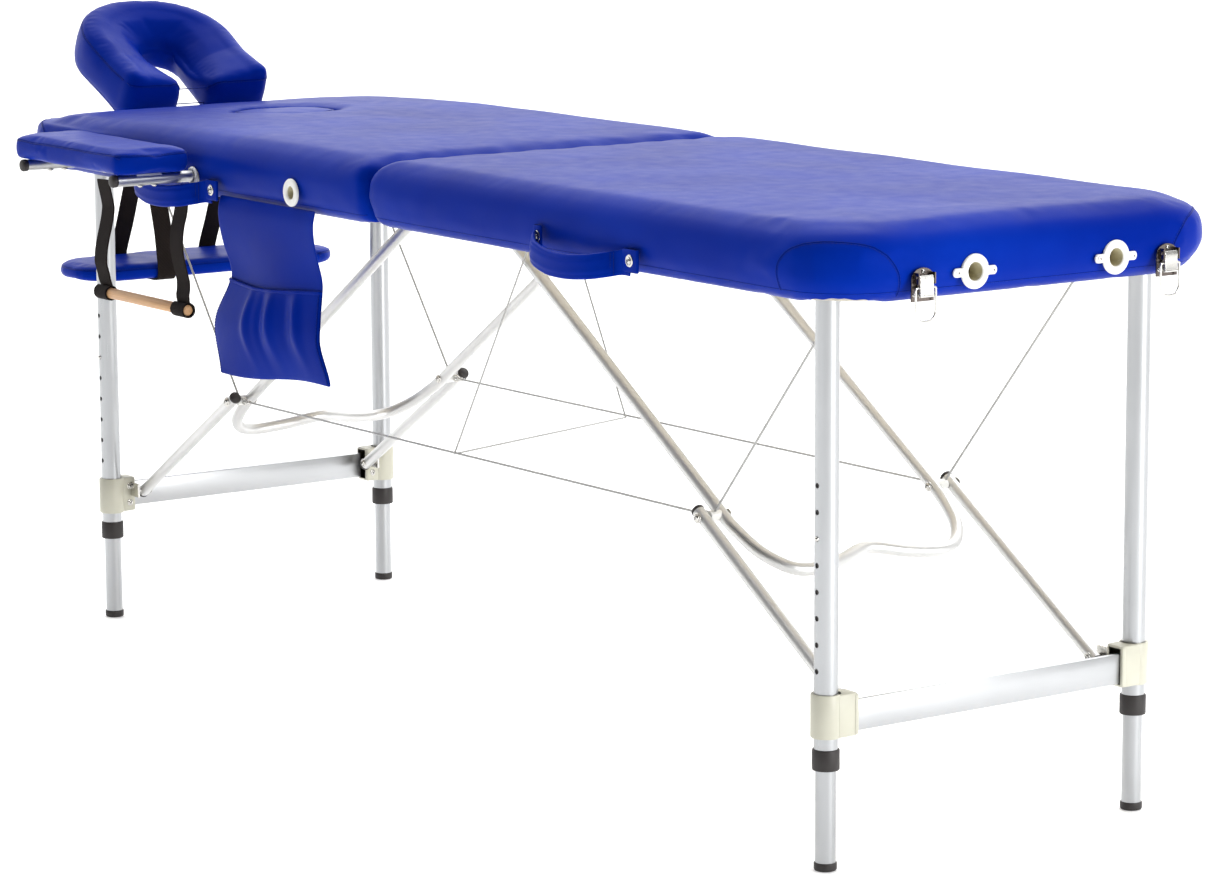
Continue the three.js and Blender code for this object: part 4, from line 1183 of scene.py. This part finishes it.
def pocket_rows(kind):
    rows = []
    start, steps = (0.0, 30) if kind == "back" else (0.47, 22)
    for i in range(steps + 1):
        t = start + (1 - start) * i / steps
        row = []
        for k in range(57):
            u = k / 56
            x, y, z = pocket_point(u, t)
            if kind == "front":
                f = (t - start) / (1 - start)
                bulge = math.sin(math.pi * u) ** 0.6 * math.sin(math.pi * (0.1 + 0.9 * f)) ** 0.7
                folds = 0.0
                for at, wide, deep in ((0.34, 0.035, 4.5), (0.47, 0.03, -3.5), (0.56, 0.04, 5.0),
                                       (0.7, 0.05, -3.0), (0.8, 0.04, 4.5)):
                    lean = at + 0.06 * (f - 0.3)
                    folds += deep * math.exp(-((u - lean) / wide) ** 2)
                fade = math.exp(-((f - 0.32) / 0.36) ** 2)
                y -= 1.7 + 8.0 * bulge + folds * fade * min(1.0, 6 * f + 0.35)
                z -= 6 * math.sin(math.pi * u) * (1 - f) ** 2
            row.append((x, y, z))
        rows.append(row)
    return rows


back = cloth_sheet("pocket_back", pocket_rows("back"), 1.6)
ride(back, "pocket_flap", "vinyl", "pocket")
front = cloth_sheet("pocket_front", pocket_rows("front"), 1.6)
ride(front, "pocket_flap", "vinyl", "pocket")
front_rows = pocket_rows("front")
hem_path = smooth_path([(x, y - 0.4, z - 1) for x, y, z in front_rows[0]], 6)
hem = make("pocket_hem", tube(hem_path, 1.9, 10, squeeze=[(1, 1.5)] * len(hem_path)), VINYL, 60)
ride(hem, "pocket_flap", "vinyl")
for name, pick, shift in (("left", 0, 3.5), ("right", -1, -3.5)):
    edge = [(row[pick][0] + shift, row[pick][1] - 1, row[pick][2]) for row in front_rows]
    seam(f"pocket_{name}_seam", front, edge, "pocket_flap", welt=0.5, beside=1.6)


# ---- carry handles ----
GRIP = [(2, -303.5, 28, 8), (6, -307, 27.5, 10), (16, -317, 22, 12.5), (34, -327, 13, 14.5),
        (70, -332, 6, 15), (110, -332.5, 5, 15), (146, -327, 8, 15), (168, -316, 12, 15),
        (178, -309, 14, 14.5), (186, -305.6, 15.5, 15), (200, -304.6, 16, 15.5)]


def handle(end, start, lift):
    """A padded grip sewn from folded vinyl, with screwed end tabs."""
    body = f"{end}_half"
    route = smooth_path([(start + g[0], g[1], 662 + lift + g[2]) for g in GRIP], 4)
    run = route[:, 0] - start
    half = np.interp(run, [g[0] for g in GRIP], [g[3] for g in GRIP])
    soft = np.clip((run - 8) / 22, 0, 1) * np.clip((174 - run) / 6, 0, 1)
    path, tangents, _ = frames_along(route)
    rings = []
    for p, t, g, w in zip(path, tangents, soft, half):
        a = np.array([0, 0, 1.0]) - t * t[2]
        a /= np.linalg.norm(a)
        n = np.cross(t, a)
        h = 1.3 + 2.6 * g
        ring = []
        for q in np.linspace(0, 2 * math.pi, 44, endpoint=False):
            u = math.copysign(abs(math.cos(q)) ** 0.6, math.cos(q))
            v = math.copysign(abs(math.sin(q)) ** 0.7, math.sin(q))
            ribs = 1.3 * g * abs(math.sin(u * math.pi * 1.5)) ** 0.7 * abs(v)
            ring.append(p + u * w * a + (v * h + math.copysign(ribs, v)) * n)
        rings.append(ring)
    grip = make(f"{end}_handle_grip", skin(rings), VINYL, 70)
    ride(grip, body, "vinyl", f"{end}_carry_handle")
    marks = []
    for at in (174, 177.5):
        y = np.interp(at, run, route[:, 1]) - 2.6
        z = np.interp(at, run, route[:, 2])
        for k in range(9):
            low = z - 13 + k * 3
            marks.append(tube([(start + at, y, low), (start + at, y, low + 2)], 0.4, 6))
    stitches = make(f"{end}_handle_stitches", merged(*marks), THREAD, 80)
    ride(stitches, body, "vinyl")
    for piece in (grip, stitches):
        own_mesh(piece)
    for i, (x, z, w) in enumerate(((start + 8, 691, 8), (start + 202, 681, 15))):
        tab = rounded_block(x - w, x + w, -306.6, -302.6, z + lift - 14, z + lift + 14, 1.7)
        ride(make(f"{end}_handle_tab_{i}", tab, VINYL, 50), body, "vinyl")
        cup = lathe([(0, -1.5), (7.4, -1.5), (7.4, 0.4), (6.8, 1.0), (5.4, 1.1), (4.2, 0.3),
                     (0, 0.3)], (x, -306.8, z + lift), (0, -1, 0), 32)
        ride(make(f"{end}_handle_cup_{i}", cup, STEEL, 35), body, "steel")
        bolt(f"{end}_handle_screw_{i}", (x, -307.0, z + lift), (0, -1, 0), body, 3.4, 1.6, 4.0)


handle("foot", 402, 0)
handle("head", -585, -4)


# ---- latches ----
def latch(name, y):
    x = 982.0
    outline = [(y - 16, 664), (y + 16, 664), (y + 16, 690)]
    outline += [(y + 16 * math.cos(a), 690 + 12 * math.sin(a))
                for a in np.linspace(0, math.pi, 14)][1:-1]
    outline += [(y - 16, 690)]
    plate = prism(outline, 979.6, x, "yz")
    ears = [block(x - 0.5, x + 8, y + e * 11.5 - 1, y + e * 11.5 + 1, 684, 697) for e in (-1, 1)]
    pin = rod((x + 4.5, y - 13.5, 692), (x + 4.5, y + 13.5, 692), 1.9, 16)
    obj = make(f"{name}_latch_plate", merged(plate, *ears, pin), NICKEL, 35, 0.5)
    ride(obj, "foot_half", "steel", f"{name}_latch_base")
    for i, (dy, z) in enumerate(((0, 697.5), (-12.6, 672), (12.6, 672))):
        head, marks = pan_screw((x, y + dy, z), (1, 0, 0), 2.6, 1.6)
        ride(make(f"{name}_latch_screw_{i}", head, STEEL, 40), "foot_half", "steel")
        # The cross recess in black: painted shade.
        ride(make(f"{name}_latch_screw_{i}_recess", marks, BLACK, 60), "foot_half", "steel")
    profile = [(x + 1.6, 669.5), (x + 4.6, 669), (x + 8.3, 671.5), (x + 7.2, 684), (x + 7.8, 689),
               (x + 6.6, 694), (x + 2.2, 694), (x + 1.2, 690)]
    lever = prism(profile, y - 9.6, y + 9.6, "xz")
    curl = tube([(x + 7.2, y - 9.4, 671), (x + 7.2, y + 9.4, 671)], 1.7, 14)
    ride(make(f"{name}_latch_lever_body", merged(lever, curl), STEEL, 35, 0.6), f"{name}_lever",
         "steel", f"{name}_latch_lever")
    half = [(0.2, 680), (11.6, 680), (13.6, 679.2), (14.2, 677), (14.2, 655), (13.2, 648.5),
            (9.6, 643.8), (4.6, 642.2), (0, 641.9)]
    loop = [(x + 5, y + dy, z) for dy, z in half]
    loop += [(x + 5, y - dy, z) for dy, z in reversed(half[:-1])]
    wire = tube(smooth_path(loop, 1.6), 1.4, 14)
    ride(make(f"{name}_latch_wire", wire, STEEL, 60), f"{name}_bail", "steel",
         f"{name}_latch_bail")
    strike = merged(block(-981.6, -979.4, y - 12, y + 12, 670, 690),
                    block(-986.5, -981.4, y - 7, y + 7, 678.5, 680.5),
                    block(-986.5, -984.8, y - 7, y + 7, 678.5, 684))
    ride(make(f"{name}_strike", strike, NICKEL, 35, 0.5), "head_half", "steel")


latch("near", SOCKET_Y - LATCH_Y)
latch("far", SOCKET_Y + LATCH_Y)


# ---- kept CAD nodes: better materials and softened edges ----
KEPT = {"head_deck": PLY, "foot_deck": PLY, "hinge_head_leaf": NICKEL, "hinge_foot_leaf": NICKEL,
        "hinge_pin": STEEL, "headrest_lever": BLACK}
for node, material in KEPT.items():
    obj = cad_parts[node]
    obj.data.materials.clear()
    obj.data.materials.append(material)
    if node.startswith("headrest"):
        edge = obj.modifiers.new("bevel", "BEVEL")
        edge.width = 0.8 * MM
        edge.segments = 2
        edge.limit_method = "ANGLE"
        edge.angle_limit = math.radians(35)

# ---- floor, light and camera ----
bpy.ops.mesh.primitive_plane_add(size=60, location=(0, 0, 0))
floor = bpy.context.object
floor.name = "floor"
paper = Nodes("floor_paper", (0.94, 0.94, 0.94), 0.75, Emission_Strength=0.24)
paper.bsdf.inputs["Emission Color"].default_value = (1, 1, 1, 1)
floor.data.materials.append(paper.material)

world = bpy.data.worlds.new("studio")
bpy.context.scene.world = world
world.use_nodes = True
sky = world.node_tree
view = sky.nodes.new("ShaderNodeTexCoord")
facing = sky.nodes.new("ShaderNodeVectorMath")
facing.operation = "DOT_PRODUCT"
facing.inputs[1].default_value = (-0.78, 0.60, 0.17)
sky.links.new(view.outputs["Generated"], facing.inputs[0])
wash = sky.nodes.new("ShaderNodeMapRange")
wash.interpolation_type = "SMOOTHSTEP"
wash.inputs["From Min"].default_value = -0.35
wash.inputs["From Max"].default_value = 0.75
wash.inputs["To Min"].default_value = 0.06
wash.inputs["To Max"].default_value = 1.65
sky.links.new(facing.outputs["Value"], wash.inputs["Value"])
seen = sky.nodes.new("ShaderNodeLightPath")
paper_white = sky.nodes.new("ShaderNodeMix")
paper_white.inputs["B"].default_value = 1.0
sky.links.new(seen.outputs["Is Camera Ray"], paper_white.inputs["Factor"])
sky.links.new(wash.outputs["Result"], paper_white.inputs["A"])
sky.nodes["Background"].inputs["Color"].default_value = (1, 1, 1, 1)
sky.links.new(paper_white.outputs["Result"], sky.nodes["Background"].inputs["Strength"])


def area(name, location, target, size, power):
    """A soft rectangular lamp aimed at a target."""
    light = bpy.data.lights.new(name, "AREA")
    light.shape = "RECTANGLE"
    light.size, light.size_y = size
    light.energy = power
    obj = bpy.data.objects.new(name, light)
    bpy.context.scene.collection.objects.link(obj)
    obj.location = location
    aim = Vector(target) - Vector(location)
    obj.rotation_mode = "QUATERNION"
    obj.rotation_quaternion = aim.to_track_quat("-Z", "Y")


sun = bpy.data.lights.new("skylight", "SUN")
sun.energy = 2.4
sun.angle = math.radians(75)
overhead = bpy.data.objects.new("skylight", sun)
bpy.context.scene.collection.objects.link(overhead)
overhead.rotation_euler = (math.radians(-14), math.radians(-16), 0)
area("end", (4.6, 1.2, 1.3), (0.9, 0, 0.6), (1.4, 1.8), 115)
area("side", (0.6, -4.4, 1.1), (0, 0, 0.6), (0.5, 1.4), 5)

LENS, SENSOR = 123.0, 36.0
BACK = Vector((0.808886, -0.563226, 0.168760)).normalized()
AZIMUTH, ROLL = math.radians(55.1506), math.radians(-0.2729)
right = Vector((math.cos(AZIMUTH), math.sin(AZIMUTH), 0))
up = BACK.cross(right)
camera = bpy.data.cameras.new("camera")
camera.lens, camera.sensor_width = LENS, SENSOR
camera.clip_end = 100
cam = bpy.data.objects.new("camera", camera)
bpy.context.scene.collection.objects.link(cam)
r2 = right * math.cos(ROLL) + up * math.sin(ROLL)
u2 = up * math.cos(ROLL) - right * math.sin(ROLL)
turn = Matrix((r2, u2, BACK)).transposed().to_4x4()
turn.translation = Vector((4.5504, -3.0832, 1.2972)) + Vector(ORIGIN)
cam.matrix_world = turn
bpy.context.scene.camera = cam
bpy.context.scene.view_settings.view_transform = "Standard"
